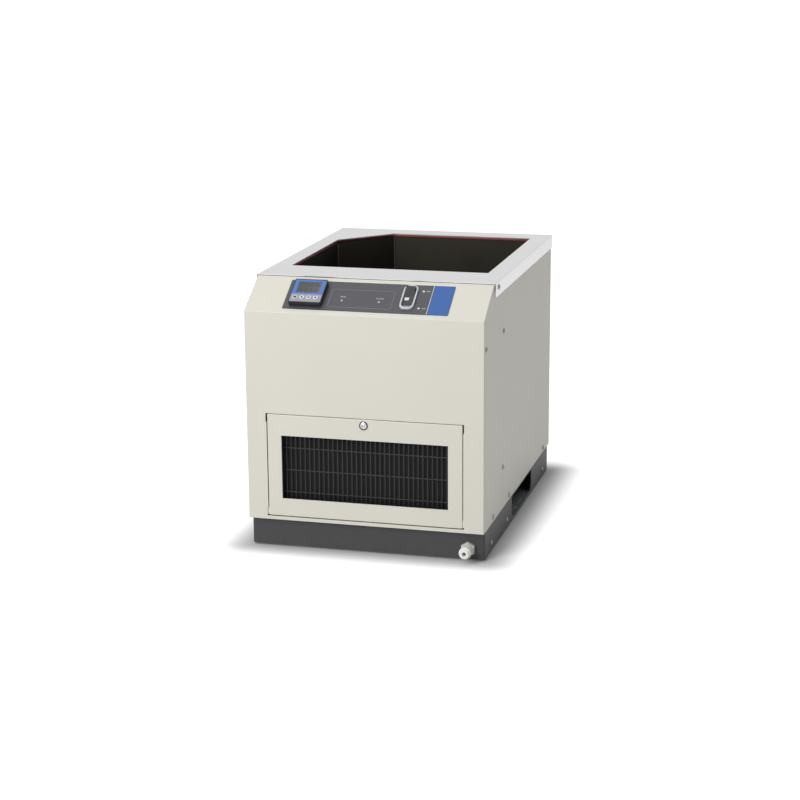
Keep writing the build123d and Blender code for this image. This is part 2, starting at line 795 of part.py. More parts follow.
# Switch: a bezel with its body behind the panel, and a rocker on two stub pins
pivot_w = 1.5
rocker_gap = 0.3
pin_radius = 1.5
pin_reach = 1.3
pocket_half = rocker_length / 2 + 2 * rocker_gap
pocket_w = pivot_w - rocker_length / 2 * sin(radians(rocker_throw)) - 6.0
bezel_top_w = overlay_sheet + switch_stand
with BuildPart() as switch_bezel:
    with BuildSketch(bevel.offset(overlay_sheet)):
        with Locations((switch_x, switch_v)):
            RectangleRounded(switch_width, switch_length, switch_width / 2 - 3)
    extrude(amount=switch_stand)
    fillet(switch_bezel.edges().group_by(bevel_normal)[-1], 1.4)
    with BuildSketch(bevel.offset(overlay_sheet)):
        with Locations((switch_x, switch_v)):
            Rectangle(switch_body_width, switch_body_length)
    extrude(amount=-switch_body_depth)
    with BuildSketch(bevel.offset(bezel_top_w)):
        with Locations((switch_x, switch_v)):
            RectangleRounded(rocker_width + 2 * rocker_gap, 2 * pocket_half, 1.0)
    extrude(amount=pocket_w - bezel_top_w, mode=Mode.SUBTRACT)
    pin_plane = Plane(origin=bevel.from_local_coords((0, switch_v, pivot_w)), z_dir=(1, 0, 0))
    with BuildSketch(pin_plane.offset(switch_x - rocker_width / 2 - rocker_gap - pin_reach)):
        Circle(pin_radius + shaft_clearance)
    extrude(amount=rocker_width + 2 * (rocker_gap + pin_reach), mode=Mode.SUBTRACT)
switch_bezel.part.label = "switch_bezel"
export_step(switch_bezel.part, "parts/switch_bezel.step")

# Rocker profile, seen along +X from its pivot: the off half lies level and the on half stands up
rocker_crest = 1.0
rocker_half = rocker_length / 2 - 1.2
rocker_base = -5.0
rocker_plane = Plane(
    origin=bevel.from_local_coords((0, switch_v, pivot_w)),
    x_dir=(0, cos(bevel_angle), sin(bevel_angle)),
    z_dir=(1, 0, 0),
)
rocker_tip = rocker_half * cos(radians(rocker_throw)) + 0.6
with BuildPart() as switch_rocker:
    with BuildSketch(rocker_plane.offset(switch_x - rocker_width / 2)):
        Polygon(
            (-rocker_half, rocker_base),
            (rocker_half, rocker_base),
            (rocker_tip, rocker_crest + rocker_tip * sin(radians(rocker_throw)) / cos(radians(rocker_throw))),
            (0, rocker_crest),
            (-rocker_half, rocker_crest),
            align=None,
        )
    extrude(amount=rocker_width)
    with BuildSketch(rocker_plane.offset(switch_x - rocker_width / 2 - pin_reach)):
        Circle(pin_radius)
    extrude(amount=rocker_width + 2 * pin_reach)
switch_rocker.part.label = "switch_rocker"
export_step(switch_rocker.part, "parts/switch_rocker.step")

# Door: a folded tray with the window, the latch hole and two hooks behind the front panel
latch_shank = 2.5
hook_height = hinge_z - door_z - sheet
window_z = door_z + window_bottom
with BuildPart() as grille_door:
    with BuildSketch(facing(front_y)):
        with Locations((0, door_mid_z)):
            Rectangle(2 * door_half_width, door_height)
    extrude(amount=-door_return)
    fillet(grille_door.edges().group_by(Axis.Y)[0] + grille_door.edges().filter_by(Axis.Y), corner_radius)
    offset(amount=-sheet, openings=grille_door.faces().sort_by(Axis.Y)[-1:])
    with BuildSketch(facing(front_y + door_top_return)):
        with Locations((0, door_top_z - 1)):
            Rectangle(2 * (door_half_width - sheet), 4)
    extrude(amount=-door_return, mode=Mode.SUBTRACT)
    with BuildSketch(facing(front_y)):
        with Locations((0, window_z + window_height / 2)):
            Rectangle(2 * window_half_width, window_height)
        with Locations((0, latch_z)):
            Circle(latch_shank + shaft_clearance)
    extrude(amount=-2 * sheet, mode=Mode.SUBTRACT)
    with BuildSketch(Plane.XZ.offset(-hinge_y)) as hooks:
        hook_width = sheet + hook_reach
        with Locations((door_half_width - sheet + hook_width / 2, hinge_z - hook_height / 2)):
            Rectangle(hook_width, hook_height)
        mirror(about=Plane.YZ)
    extrude(amount=-sheet)
grille_door.part.label = "grille_door"
export_step(grille_door.part, "parts/grille_door.step")

# Latch receptacle: plate on the back of the tab, with a keyhole slot for the latch pin
latch_pin = 1.0
latch_pin_length = 11.0
receptacle_sheet = 1.5
receptacle_y = latch_tab_y + sheet
receptacle_back_y = receptacle_y + receptacle_sheet
latch_pin_y = receptacle_back_y + panel_gap + latch_pin
with BuildPart() as latch_receptacle:
    with BuildSketch(facing(receptacle_y)):
        with Locations((0, latch_z)):
            RectangleRounded(2 * latch_tab_half - 4, 16, 3)
            Circle(latch_shank + 0.7, mode=Mode.SUBTRACT)
            Rectangle(latch_pin_length + 2, 2 * latch_pin + 1.4, mode=Mode.SUBTRACT)
    extrude(amount=-receptacle_sheet)
latch_receptacle.part.label = "latch_receptacle"
export_step(latch_receptacle.part, "parts/latch_receptacle.step")

# Quarter-turn latch: slotted head in front of the door, shank through it and a cross pin
latch_head = 5.0
latch_head_height = 2.0
latch_seat_y = front_y - 0.1
with BuildPart() as door_latch:
    with BuildSketch(facing(latch_seat_y)):
        with Locations((0, latch_z)):
            Circle(latch_head)
    extrude(amount=latch_head_height, taper=15)
    with BuildSketch(facing(latch_seat_y - latch_head_height)):
        with Locations((0, latch_z)):
            Rectangle(1.4, 2 * latch_head)
    extrude(amount=-latch_head_height / 2, mode=Mode.SUBTRACT)
    with BuildSketch(facing(latch_seat_y)):
        with Locations((0, latch_z)):
            Circle(latch_shank)
    extrude(amount=latch_seat_y - latch_pin_y - 2 * latch_pin)
    with BuildSketch(Plane.YZ.offset(-latch_pin_length / 2)):
        with Locations((latch_pin_y, latch_z)):
            Circle(latch_pin)
    extrude(amount=latch_pin_length)
door_latch.part.label = "door_latch"
export_step(door_latch.part, "parts/door_latch.step")

# Wire guard: upright wires welded in front of three rails, inside a square-bar rim
guard_half = door_half_width - sheet - panel_gap
guard_bottom_z = door_z + sheet + panel_gap
guard_top_z = guard_bottom_z + filter_height + 8.0
guard_mid_z = (guard_bottom_z + guard_top_z) / 2
rim_y = front_y + door_return - panel_gap - rim_wire
upright_wire_y = rim_y + wire / 2
rail_y = upright_wire_y + wire - 0.3
wire_count = int((2 * guard_half - 2 * rim_wire) // wire_pitch)
rail_places = [window_z + rail_start + i * rail_pitch for i in range(3)]
with BuildPart() as filter_guard:
    with BuildSketch(facing(rim_y)):
        with Locations((0, guard_mid_z)):
            RectangleRounded(2 * guard_half, guard_top_z - guard_bottom_z, 2 * rim_wire)
            Rectangle(
                2 * (guard_half - rim_wire),
                guard_top_z - guard_bottom_z - 2 * rim_wire,
                mode=Mode.SUBTRACT,
            )
    extrude(amount=-rim_wire)
    with BuildSketch(Plane.XY.offset(guard_bottom_z + rim_wire / 2)):
        with Locations((0, upright_wire_y)):
            with GridLocations(wire_pitch, 1, wire_count, 1):
                RegularPolygon(wire / 2, 6)
    extrude(amount=guard_top_z - guard_bottom_z - rim_wire)
    with BuildSketch(Plane.YZ.offset(-guard_half + rim_wire / 2)):
        with Locations(*[(rail_y, z) for z in rail_places]):
            RegularPolygon(wire / 2, 6)
    extrude(amount=2 * guard_half - rim_wire)
filter_guard.part.label = "filter_guard"
export_step(filter_guard.part, "parts/filter_guard.step")

# Air filter pad behind the guard, in a folded retainer that clips inside the door
retainer_sheet = 1.0
retainer_lip = 6.0
retainer_y = front_y + door_return
with BuildPart() as air_filter:
    with BuildSketch(facing(retainer_y + panel_gap)):
        with Locations((0, guard_mid_z)):
            RectangleRounded(
                2 * (guard_half - retainer_sheet - panel_gap),
                guard_top_z - guard_bottom_z - 2 * (retainer_sheet + panel_gap),
                2.0,
            )
    extrude(amount=-filter_thickness)
air_filter.part.label = "air_filter"
export_step(air_filter.part, "parts/air_filter.step")

with BuildPart() as filter_retainer:
    with BuildSketch(facing(retainer_y)):
        with Locations((0, guard_mid_z)):
            Rectangle(2 * guard_half, guard_top_z - guard_bottom_z)
    extrude(amount=-(filter_thickness + 2 * panel_gap + retainer_sheet))
    offset(amount=-retainer_sheet, openings=filter_retainer.faces().sort_by(Axis.Y)[:1])
    with BuildSketch(facing(retainer_y)):
        with Locations((0, guard_mid_z)):
            Rectangle(
                2 * (guard_half - retainer_sheet - retainer_lip),
                guard_top_z - guard_bottom_z - 2 * (retainer_sheet + retainer_lip),
            )
    extrude(amount=-2 * (filter_thickness + retainer_sheet), mode=Mode.SUBTRACT)
filter_retainer.part.label = "filter_retainer"
export_step(filter_retainer.part, "parts/filter_retainer.step")

# Cold plate under the tank floor, with a bore for the temperature sensor
sensor_radius = 2.5
sensor_depth = 60.0
cold_plate_z = tank_bottom_z - cold_plate_thickness
sensor_z = cold_plate_z + cold_plate_thickness / 2
with BuildPart() as cold_plate:
    with BuildSketch(Plane.XY.offset(cold_plate_z)):
        with Locations((0, cold_plate_mid_y)):
            RectangleRounded(cold_plate_width, cold_plate_length, 6)
    extrude(amount=cold_plate_thickness)
    with BuildSketch(facing(cold_plate_front_y)):
        with Locations((0, sensor_z)):
            Circle(sensor_radius + shaft_clearance)
    extrude(amount=-sensor_depth, mode=Mode.SUBTRACT)
cold_plate.part.label = "cold_plate"
export_step(cold_plate.part, "parts/cold_plate.step")

# Temperature sensor: metal sheath in the cold plate, with its collar outside
with BuildPart() as temperature_sensor:
    with BuildSketch(facing(cold_plate_front_y)):
        with Locations((0, sensor_z)):
            Circle(sensor_radius)
    extrude(amount=-(sensor_depth - panel_gap))
    with BuildSketch(facing(cold_plate_front_y)):
        with Locations((0, sensor_z)):
            Circle(sensor_collar)
    extrude(amount=sensor_head)
temperature_sensor.part.label = "temperature_sensor"
export_step(temperature_sensor.part, "parts/temperature_sensor.step")

# Peltier modules: flat ceramic squares clamped between the cold plate and the heat sink
module_columns = 4
module_rows = 3
module_z = cold_plate_z - module_thickness
with BuildPart() as peltier_modules:
    with BuildSketch(Plane.XY.offset(module_z)):
        with Locations((0, cold_plate_mid_y)):
            with GridLocations(module_pitch, module_pitch, module_columns, module_rows):
                Rectangle(module_size, module_size)
    extrude(amount=module_thickness)
peltier_modules.part.label = "peltier_modules"
export_step(peltier_modules.part, "parts/peltier_modules.step")

# Heat sink: extruded base with fins along the air flow
sink_z = module_z - sink_base
fin_count = int((sink_width - fin_thickness) // fin_pitch) + 1
with BuildPart() as heat_sink:
    with BuildSketch(facing(front_y + sink_start)):
        with Locations((0, sink_z + sink_base / 2)):
            Rectangle(sink_width, sink_base)
        with Locations((0, sink_z - fin_height / 2)):
            with GridLocations(fin_pitch, 1, fin_count, 1):
                Rectangle(fin_thickness, fin_height)
    extrude(amount=-sink_length)
heat_sink.part.label = "heat_sink"
export_step(heat_sink.part, "parts/heat_sink.step")

# Fan bracket: upright plate behind the two fans, with a foot on the deck
fan_z = floor_z + fan_lift + fan_size / 2
fan_back_y = front_y + fan_start + fan_depth
fan_places = [(-fan_spacing / 2, fan_z), (fan_spacing / 2, fan_z)]
bracket_half = fan_spacing / 2 + fan_size / 2 + 3
bracket_foot = 14.0
with BuildPart() as fan_bracket:
    with BuildSketch(facing(fan_back_y)):
        with Locations((0, floor_z + (fan_size + 2 * fan_lift) / 2)):
            Rectangle(2 * bracket_half, fan_size + 2 * fan_lift)
        with Locations(*fan_places):
            Circle(fan_bore / 2, mode=Mode.SUBTRACT)
    extrude(amount=-frame_sheet)
    with BuildSketch(Plane.XY.offset(floor_z)):
        with Locations((0, fan_back_y + bracket_foot / 2)):
            Rectangle(2 * bracket_half, bracket_foot)
    extrude(amount=frame_sheet)
fan_bracket.part.label = "fan_bracket"
export_step(fan_bracket.part, "parts/fan_bracket.step")

# Fan frames: square moulded rings with a hub on four struts, whose post carries the rotor shaft
strut = 3.0
shaft_radius = 2.0
post_radius = 4.5
post_length = 12.0
frame_corner = (fan_size - 9.0) / 2
with BuildPart() as fan_frames:
    for fan_x, _ in fan_places:
        with BuildSketch(facing(fan_back_y)):
            with Locations((fan_x, fan_z)):
                RectangleRounded(fan_size, fan_size, 4)
                Circle(fan_bore / 2, mode=Mode.SUBTRACT)
            with Locations(*[
                (fan_x + s * frame_corner, fan_z + t * frame_corner) for s in (-1, 1) for t in (-1, 1)
            ]):
                Circle(hole_diameter / 2, mode=Mode.SUBTRACT)
        extrude(amount=fan_depth)
        with BuildSketch(facing(fan_back_y)):
            with Locations((fan_x, fan_z)):
                Circle(fan_hub / 2)
                Rectangle(fan_bore + 1, strut)
                Rectangle(strut, fan_bore + 1)
        extrude(amount=strut)
        with BuildSketch(facing(fan_back_y - strut)):
            with Locations((fan_x, fan_z)):
                Circle(post_radius)
        extrude(amount=post_length)
        with BuildSketch(facing(fan_back_y)):
            with Locations((fan_x, fan_z)):
                Circle(shaft_radius + shaft_clearance)
        extrude(amount=post_length + strut, mode=Mode.SUBTRACT)
fan_frames.part.label = "fan_frames"
export_step(fan_frames.part, "parts/fan_frames.step")

# Fan blade: lofted from a steep root to a flatter tip, along local x from the hub
blade_sheet = 1.8
blade_root = 15.0
blade_tip = 24.0
hub_front_gap = 1.5
hub_depth = 19.0
hub_wall = 2.0
with BuildPart() as fan_blade:
    with BuildSketch(Plane.YZ.offset(fan_hub / 2 - 1)):
        Rectangle(blade_root, blade_sheet, rotation=42)
    with BuildSketch(Plane.YZ.offset(fan_bore / 2 - 2)):
        Rectangle(blade_tip, blade_sheet, rotation=26)
    loft(ruled=True)

# Fan rotors: cupped hub round the post, its shaft in the post and the blades round it
for fan_x, label in ((-fan_spacing / 2, "fan_rotor_left"), (fan_spacing / 2, "fan_rotor_right")):
    hub_front_y = front_y + fan_start + hub_front_gap
    hub_plane = Plane(origin=(fan_x, hub_front_y, fan_z), x_dir=(1, 0, 0), z_dir=(0, 1, 0))
    with BuildPart() as fan_rotor:
        with BuildSketch(hub_plane):
            Circle(fan_hub / 2)
        extrude(amount=hub_depth)
        with BuildSketch(hub_plane.offset(hub_wall)):
            Circle(fan_hub / 2 - hub_wall)
        extrude(amount=hub_depth - hub_wall, mode=Mode.SUBTRACT)
        with BuildSketch(hub_plane.offset(hub_wall)):
            Circle(shaft_radius)
        extrude(amount=fan_depth - hub_front_gap - hub_wall - panel_gap)
        with Locations(hub_plane.offset(hub_depth / 2)):
            with PolarLocations(0, blade_count):
                add(fan_blade.part)
    fan_rotor.part.label = label
    export_step(fan_rotor.part, f"parts/{label}.step")

# Pump: motor on a bracket, head on the motor and impeller inside the head
bracket_sheet = 3.0
bracket_side = pump_motor_diameter + 16.0
motor_z = floor_z + bracket_sheet
motor_top_z = motor_z + pump_motor_height
motor_flange = 5.0
pump_shaft = 3.0
pump_shaft_depth = 24.0
with BuildPart() as pump_bracket:
    with BuildSketch(Plane.XY.offset(floor_z)):
        with Locations((pump_x, pump_mid_y)):
            RectangleRounded(bracket_side, bracket_side, 5)
    extrude(amount=bracket_sheet)
pump_bracket.part.label = "pump_bracket"
export_step(pump_bracket.part, "parts/pump_bracket.step")

with BuildPart() as pump_motor:
    with BuildSketch(Plane.XY.offset(motor_z)):
        with Locations((pump_x, pump_mid_y)):
            Circle(pump_motor_diameter / 2)
    extrude(amount=pump_motor_height)
    with BuildSketch(Plane.XY.offset(motor_top_z - motor_flange)):
        with Locations((pump_x, pump_mid_y)):
            Circle(pump_head_diameter / 2)
    extrude(amount=motor_flange)
    with BuildSketch(Plane.XY.offset(motor_top_z)):
        with Locations((pump_x, pump_mid_y)):
            Circle(pump_shaft + shaft_clearance)
    extrude(amount=-pump_shaft_depth - panel_gap, mode=Mode.SUBTRACT)
pump_motor.part.label = "pump_motor"
export_step(pump_motor.part, "parts/pump_motor.step")

head_top_z = motor_top_z + pump_head_height
nozzle_length = 14.0
outlet_z = motor_top_z + (pump_head_height - pump_wall) / 2
outlet_x = pump_x - pump_head_diameter / 2 - nozzle_length
with BuildPart() as pump_head:
    with BuildSketch(Plane.XY.offset(motor_top_z)):
        with Locations((pump_x, pump_mid_y)):
            Circle(pump_head_diameter / 2)
    extrude(amount=pump_head_height)
    with BuildSketch(Plane.XY.offset(head_top_z)):
        with Locations((pump_x, pump_mid_y)):
            Circle(nozzle_radius)
    extrude(amount=nozzle_length)
    with BuildSketch(Plane.YZ.offset(outlet_x)):
        with Locations((outlet_y, outlet_z)):
            Circle(nozzle_radius)
    extrude(amount=pump_x - outlet_x)
    with BuildSketch(Plane.XY.offset(motor_top_z)):
        with Locations((pump_x, pump_mid_y)):
            Circle(pump_head_diameter / 2 - pump_wall)
    extrude(amount=pump_head_height - pump_wall, mode=Mode.SUBTRACT)
    with BuildSketch(Plane.XY.offset(head_top_z + nozzle_length)):
        with Locations((pump_x, pump_mid_y)):
            Circle(nozzle_bore)
    extrude(amount=-nozzle_length - 2 * pump_wall, mode=Mode.SUBTRACT)
    with BuildSketch(Plane.YZ.offset(outlet_x)):
        with Locations((outlet_y, outlet_z)):
            Circle(nozzle_bore)
    extrude(amount=pump_x - outlet_x, mode=Mode.SUBTRACT)
pump_head.part.label = "pump_head"
export_step(pump_head.part, "parts/pump_head.step")

impeller_lift = 2.0
impeller_disc = 2.0
impeller_vane = 9.0
vane_count = 6
impeller_radius = pump_head_diameter / 2 - pump_wall - 4.0
with BuildPart() as pump_impeller:
    with BuildSketch(Plane.XY.offset(motor_top_z + impeller_lift)):
        with Locations((pump_x, pump_mid_y)):
            Circle(impeller_radius)
    extrude(amount=impeller_disc)
    with BuildSketch(Plane.XY.offset(motor_top_z + impeller_lift + impeller_disc)):
        with Locations((pump_x, pump_mid_y)):
            Circle(2 * pump_shaft)
            with PolarLocations(0, vane_count):
                with Locations((impeller_radius / 2, 3)):
                    Rectangle(impeller_radius - 6, 1.6, rotation=-18)
    extrude(amount=impeller_vane)
    with BuildSketch(Plane.XY.offset(motor_top_z - pump_shaft_depth)):
        with Locations((pump_x, pump_mid_y)):
            Circle(pump_shaft)
    extrude(amount=pump_shaft_depth + impeller_lift)
pump_impeller.part.label = "pump_impeller"
export_step(pump_impeller.part, "parts/pump_impeller.step")

# Hoses: each follows straight runs joined by arcs, over a nozzle at either end
hose_inner = nozzle_radius + 0.05
hose_bend = 22.0
spigot_z = tank_bottom_z - 2.0
elbow_top_z = deck_z - 6.0
elbow_half = 9.0
hoses = {
    "suction_hose": [
        (pump_x, pump_mid_y, head_top_z + 2),
        (pump_x, pump_mid_y, spigot_z),
    ],
    "return_hose": [
        (outlet_x + nozzle_length - 2, outlet_y, outlet_z),
        (return_x, outlet_y, outlet_z),
        (return_x, outlet_y, spigot_z),
    ],
    "drain_hose": [
        (drain_spigot_x, front_y + drain_spigot_y, spigot_z),
        (drain_spigot_x, front_y + drain_spigot_y, floor_z + 34),
        (drain_x, front_y + drain_riser_y, floor_z + 34),
        (drain_x, front_y + drain_riser_y, drain_z + elbow_half + 1),
    ],
}
for label, route in hoses.items():
    with BuildPart() as hose:
        with BuildLine() as path:
            if len(route) == 2:
                Line(*route)
            else:
                FilletPolyline(*route, radius=hose_bend)
        with BuildSketch(Plane(origin=path.line @ 0, z_dir=path.line % 0)):
            Circle(hose_radius)
            Circle(hose_inner, mode=Mode.SUBTRACT)
        sweep()
    hose.part.label = label
    export_step(hose.part, f"parts/{label}.step")

# Drain elbow in the base: takes the hose from above and the fitting's stem from the front
elbow_front_y = base_front_y + base_sheet + panel_gap
elbow_rear_y = front_y + drain_riser_y + elbow_half
stem_end_y = elbow_front_y + 14.0
with BuildPart() as drain_elbow:
    with BuildSketch(facing(elbow_front_y)):
        with Locations((drain_x, drain_z)):
            RectangleRounded(2 * elbow_half, 2 * elbow_half, 2)
    extrude(amount=-(elbow_rear_y - elbow_front_y))
    with BuildSketch(Plane.XY.offset(drain_z)):
        with Locations((drain_x, front_y + drain_riser_y)):
            Circle(nozzle_radius)
    extrude(amount=elbow_top_z - drain_z)
    with BuildSketch(Plane.XY.offset(elbow_top_z)):
        with Locations((drain_x, front_y + drain_riser_y)):
            Circle(nozzle_bore)
    extrude(amount=drain_z - elbow_top_z, mode=Mode.SUBTRACT)
    with BuildSketch(facing(elbow_front_y)):
        with Locations((drain_x, drain_z)):
            Circle(nozzle_bore)
    extrude(amount=elbow_front_y - front_y - drain_riser_y, mode=Mode.SUBTRACT)
    with BuildSketch(facing(elbow_front_y)):
        with Locations((drain_x, drain_z)):
            Circle(drain_stem_radius + shaft_clearance)
    extrude(amount=elbow_front_y - stem_end_y - panel_gap, mode=Mode.SUBTRACT)
drain_elbow.part.label = "drain_elbow"
export_step(drain_elbow.part, "parts/drain_elbow.step")

# Drain fitting: lock nut on the stem, round body in front of it and the release collet in its mouth
nut_front_y = base_front_y - nut_thickness
tip_y = front_y - drain_reach
collet_flange = 1.6
collet_flange_radius = 6.8
collet_sleeve_radius = 4.8
collet_length = 10.0
body_front_y = tip_y + collet_flange + collet_travel + panel_gap
sleeve_pocket_y = tip_y + collet_length + collet_travel + panel_gap
tube_stop_y = sleeve_pocket_y + 5.0
with BuildPart() as drain_nut:
    with BuildSketch(facing(base_front_y)):
        with Locations((drain_x, drain_z)):
            RegularPolygon(nut_across_flats / 2, 6, major_radius=False, rotation=30)
            Circle(drain_stem_radius + shaft_clearance, mode=Mode.SUBTRACT)
    extrude(amount=nut_thickness)
    chamfer(drain_nut.faces().sort_by(Axis.Y)[0].outer_wire().edges(), 0.8)
drain_nut.part.label = "drain_nut"
export_step(drain_nut.part, "parts/drain_nut.step")

drain_plane = Plane(origin=(drain_x, tip_y, drain_z), x_dir=(1, 0, 0), z_dir=(0, 0, 1))
with BuildPart() as drain_body:
    with BuildSketch(drain_plane):
        with BuildLine():
            Polyline(
                (tube_radius, sleeve_pocket_y - tip_y),
                (collet_sleeve_radius + 0.1, sleeve_pocket_y - tip_y),
                (collet_sleeve_radius + 0.1, body_front_y - tip_y),
                (drain_diameter / 2 - 1.2, body_front_y - tip_y),
                (drain_diameter / 2, body_front_y - tip_y + 1.2),
                (drain_diameter / 2, nut_front_y - tip_y),
                (drain_stem_radius, nut_front_y - tip_y),
                (drain_stem_radius, stem_end_y - tip_y),
                (tube_radius - 0.8, stem_end_y - tip_y),
                (tube_radius - 0.8, tube_stop_y - tip_y),
                (tube_radius, tube_stop_y - tip_y),
                (tube_radius, sleeve_pocket_y - tip_y),
            )
        make_face()
    revolve(axis=Axis((drain_x, tip_y, drain_z), (0, 1, 0)))
drain_body.part.label = "drain_body"
export_step(drain_body.part, "parts/drain_body.step")

with BuildPart() as drain_collet:
    with BuildSketch(drain_plane):
        with BuildLine():
            Polyline(
                (tube_radius, 0),
                (collet_flange_radius - 0.5, 0),
                (collet_flange_radius, 0.5),
                (collet_flange_radius, collet_flange),
                (collet_sleeve_radius, collet_flange),
                (collet_sleeve_radius, collet_length),
                (tube_radius, collet_length),
                (tube_radius, 0),
            )
        make_face()
    revolve(axis=Axis((drain_x, tip_y, drain_z), (0, 1, 0)))
drain_collet.part.label = "drain_collet"
export_step(drain_collet.part, "parts/drain_collet.step")

# Power supply on the shelf: a louvred box
tray_z = shelf_z + frame_sheet
shelf_mid_y = (shelf_front_y + shelf_rear_y) / 2
supply_x = 82.0
supply_width = 130.0
supply_depth = 92.0
supply_height = 46.0
vent_pitch = 9.0
vent_count = 11
with BuildPart() as power_supply:
    with BuildSketch(Plane.XY.offset(tray_z)):
        with Locations((supply_x, shelf_mid_y)):
            Rectangle(supply_width, supply_depth)
    extrude(amount=supply_height)
    chamfer(power_supply.edges().group_by(Axis.Z)[-1], 1.0)
    with BuildSketch(Plane.XY.offset(tray_z + supply_height)):
        with Locations((supply_x, shelf_mid_y)):
            with GridLocations(vent_pitch, 1, vent_count, 1):
                SlotOverall(supply_depth - 30, 3.0, rotation=90)
    extrude(amount=-sheet, mode=Mode.SUBTRACT)
power_supply.part.label = "power_supply"
export_step(power_supply.part, "parts/power_supply.step")

# Control board on four standoffs, with its transformer, relays, capacitors and connector
board_x = -92.0
board_width = 124.0
board_depth = 84.0
board_sheet = 1.6
standoff = 8.0
standoff_inset = 5.0
board_z = tray_z + standoff
with BuildPart() as control_board:
    with BuildSketch(Plane.XY.offset(board_z)):
        with Locations((board_x, shelf_mid_y)):
            Rectangle(board_width, board_depth)
    extrude(amount=board_sheet)
    with BuildSketch(Plane.XY.offset(tray_z)):
        with Locations((board_x, shelf_mid_y)):
            with GridLocations(board_width - 2 * standoff_inset, board_depth - 2 * standoff_inset, 2, 2):
                Circle(3)
    extrude(amount=standoff)
    with BuildSketch(Plane.XY.offset(board_z + board_sheet)):
        with Locations((board_x - 38, shelf_mid_y + 14)):
            Rectangle(34, 30)
        with Locations((board_x + 30, shelf_mid_y - 22)):
            with GridLocations(20, 1, 3, 1):
                Rectangle(16, 22)
    extrude(amount=22)
    with BuildSketch(Plane.XY.offset(board_z + board_sheet)):
        with Locations((board_x + 24, shelf_mid_y + 20)):
            with GridLocations(18, 1, 3, 1):
                Circle(7)
        with Locations((board_x - 34, shelf_mid_y - 30)):
            Rectangle(40, 8)
    extrude(amount=14)
control_board.part.label = "control_board"
export_step(control_board.part, "parts/control_board.step")

# Terminal block: moulded base with a rib between each two terminals
terminal_x = -8.0
terminal_width = 22.0
terminal_pitch = 10.0
terminal_count = 8
rib_sheet = 2.0
terminal_length = terminal_count * terminal_pitch
with BuildPart() as terminal_block:
    with BuildSketch(Plane.XY.offset(tray_z)):
        with Locations((terminal_x, shelf_mid_y)):
            Rectangle(terminal_width, terminal_length + rib_sheet)
    extrude(amount=7)
    with BuildSketch(Plane.XY.offset(tray_z)):
        with Locations((terminal_x, shelf_mid_y)):
            with GridLocations(1, terminal_pitch, 1, terminal_count + 1):
                Rectangle(terminal_width, rib_sheet)
    extrude(amount=15)
terminal_block.part.label = "terminal_block"
export_step(terminal_block.part, "parts/terminal_block.step")

# Mains inlet: snap-in socket in the rear panel, with three flat contacts
inlet_flange = 2.5
inlet_depth = 20.0
socket_depth = 15.0
contact_offset = 7.0
with BuildPart() as power_inlet:
    with BuildSketch(facing(rear_y)):
        with Locations((inlet_x, inlet_z)):
            RectangleRounded(inlet_width + 6, inlet_height + 5, 1.5)
    extrude(amount=-inlet_flange)
    with BuildSketch(facing(rear_y)):
        with Locations((inlet_x, inlet_z)):
            Rectangle(inlet_width, inlet_height)
    extrude(amount=inlet_depth)
    with BuildSketch(facing(rear_y + inlet_flange)) as socket:
        with Locations((inlet_x, inlet_z)):
            Rectangle(24, 16)
        chamfer(socket.vertices().group_by(Axis.Y)[-1], 4)
    extrude(amount=socket_depth + inlet_flange, mode=Mode.SUBTRACT)
    with BuildSketch(facing(rear_y + inlet_flange - socket_depth - inlet_flange)):
        with Locations((inlet_x, inlet_z + 2.5), (inlet_x - contact_offset, inlet_z - 2), (inlet_x + contact_offset, inlet_z - 2)):
            Rectangle(2, 4)
    extrude(amount=-socket_depth + 2)
power_inlet.part.label = "power_inlet"
export_step(power_inlet.part, "parts/power_inlet.step")

# Screws of the panels and the top plate, one group of like pieces
with BuildPart() as panel_screws:
    for y, z in front_panel_screws + seam_screws + side_panel_screws:
        side_screw_pair(y, z, side_x)
    for y, z in plate_screws:
        side_screw_pair(y, z, plate_x)
    for x, z in rear_screws:
        for side in (1, -1):
            pan_head_screw(Plane(origin=(side * x, rear_y, z), z_dir=(0, 1, 0)))
panel_screws.part.label = "panel_screws"
export_step(panel_screws.part, "parts/panel_screws.step")

with BuildPart() as base_screws:
    for y in base_screws_y:
        side_screw_pair(y, base_screw_z, base_half_x)
base_screws.part.label = "base_screws"
export_step(base_screws.part, "parts/base_screws.step")
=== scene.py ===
"""Looks of a bench-top thermoelectric water bath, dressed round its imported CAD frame.

Metres, +Z up, +X to the right seen from the front, the front of the bath towards -Y.
"""

import functools
import logging
import math
from collections.abc import Mapping, Sequence
from dataclasses import dataclass
from enum import Enum
from typing import ClassVar
from typing import ClassVar

import bmesh
import bpy
import numpy as np
from mathutils import Matrix


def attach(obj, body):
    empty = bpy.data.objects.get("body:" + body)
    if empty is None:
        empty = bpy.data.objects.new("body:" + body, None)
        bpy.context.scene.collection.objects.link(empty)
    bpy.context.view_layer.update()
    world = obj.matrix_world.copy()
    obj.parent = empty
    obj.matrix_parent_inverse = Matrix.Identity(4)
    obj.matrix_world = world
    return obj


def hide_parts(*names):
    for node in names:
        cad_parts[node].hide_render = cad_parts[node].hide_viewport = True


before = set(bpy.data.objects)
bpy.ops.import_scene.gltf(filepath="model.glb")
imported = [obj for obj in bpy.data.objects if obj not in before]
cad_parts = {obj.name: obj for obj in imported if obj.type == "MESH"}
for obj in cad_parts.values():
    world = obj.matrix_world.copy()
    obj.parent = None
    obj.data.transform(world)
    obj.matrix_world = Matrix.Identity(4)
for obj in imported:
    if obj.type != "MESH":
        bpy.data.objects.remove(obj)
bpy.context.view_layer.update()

report = logging.getLogger("bath")

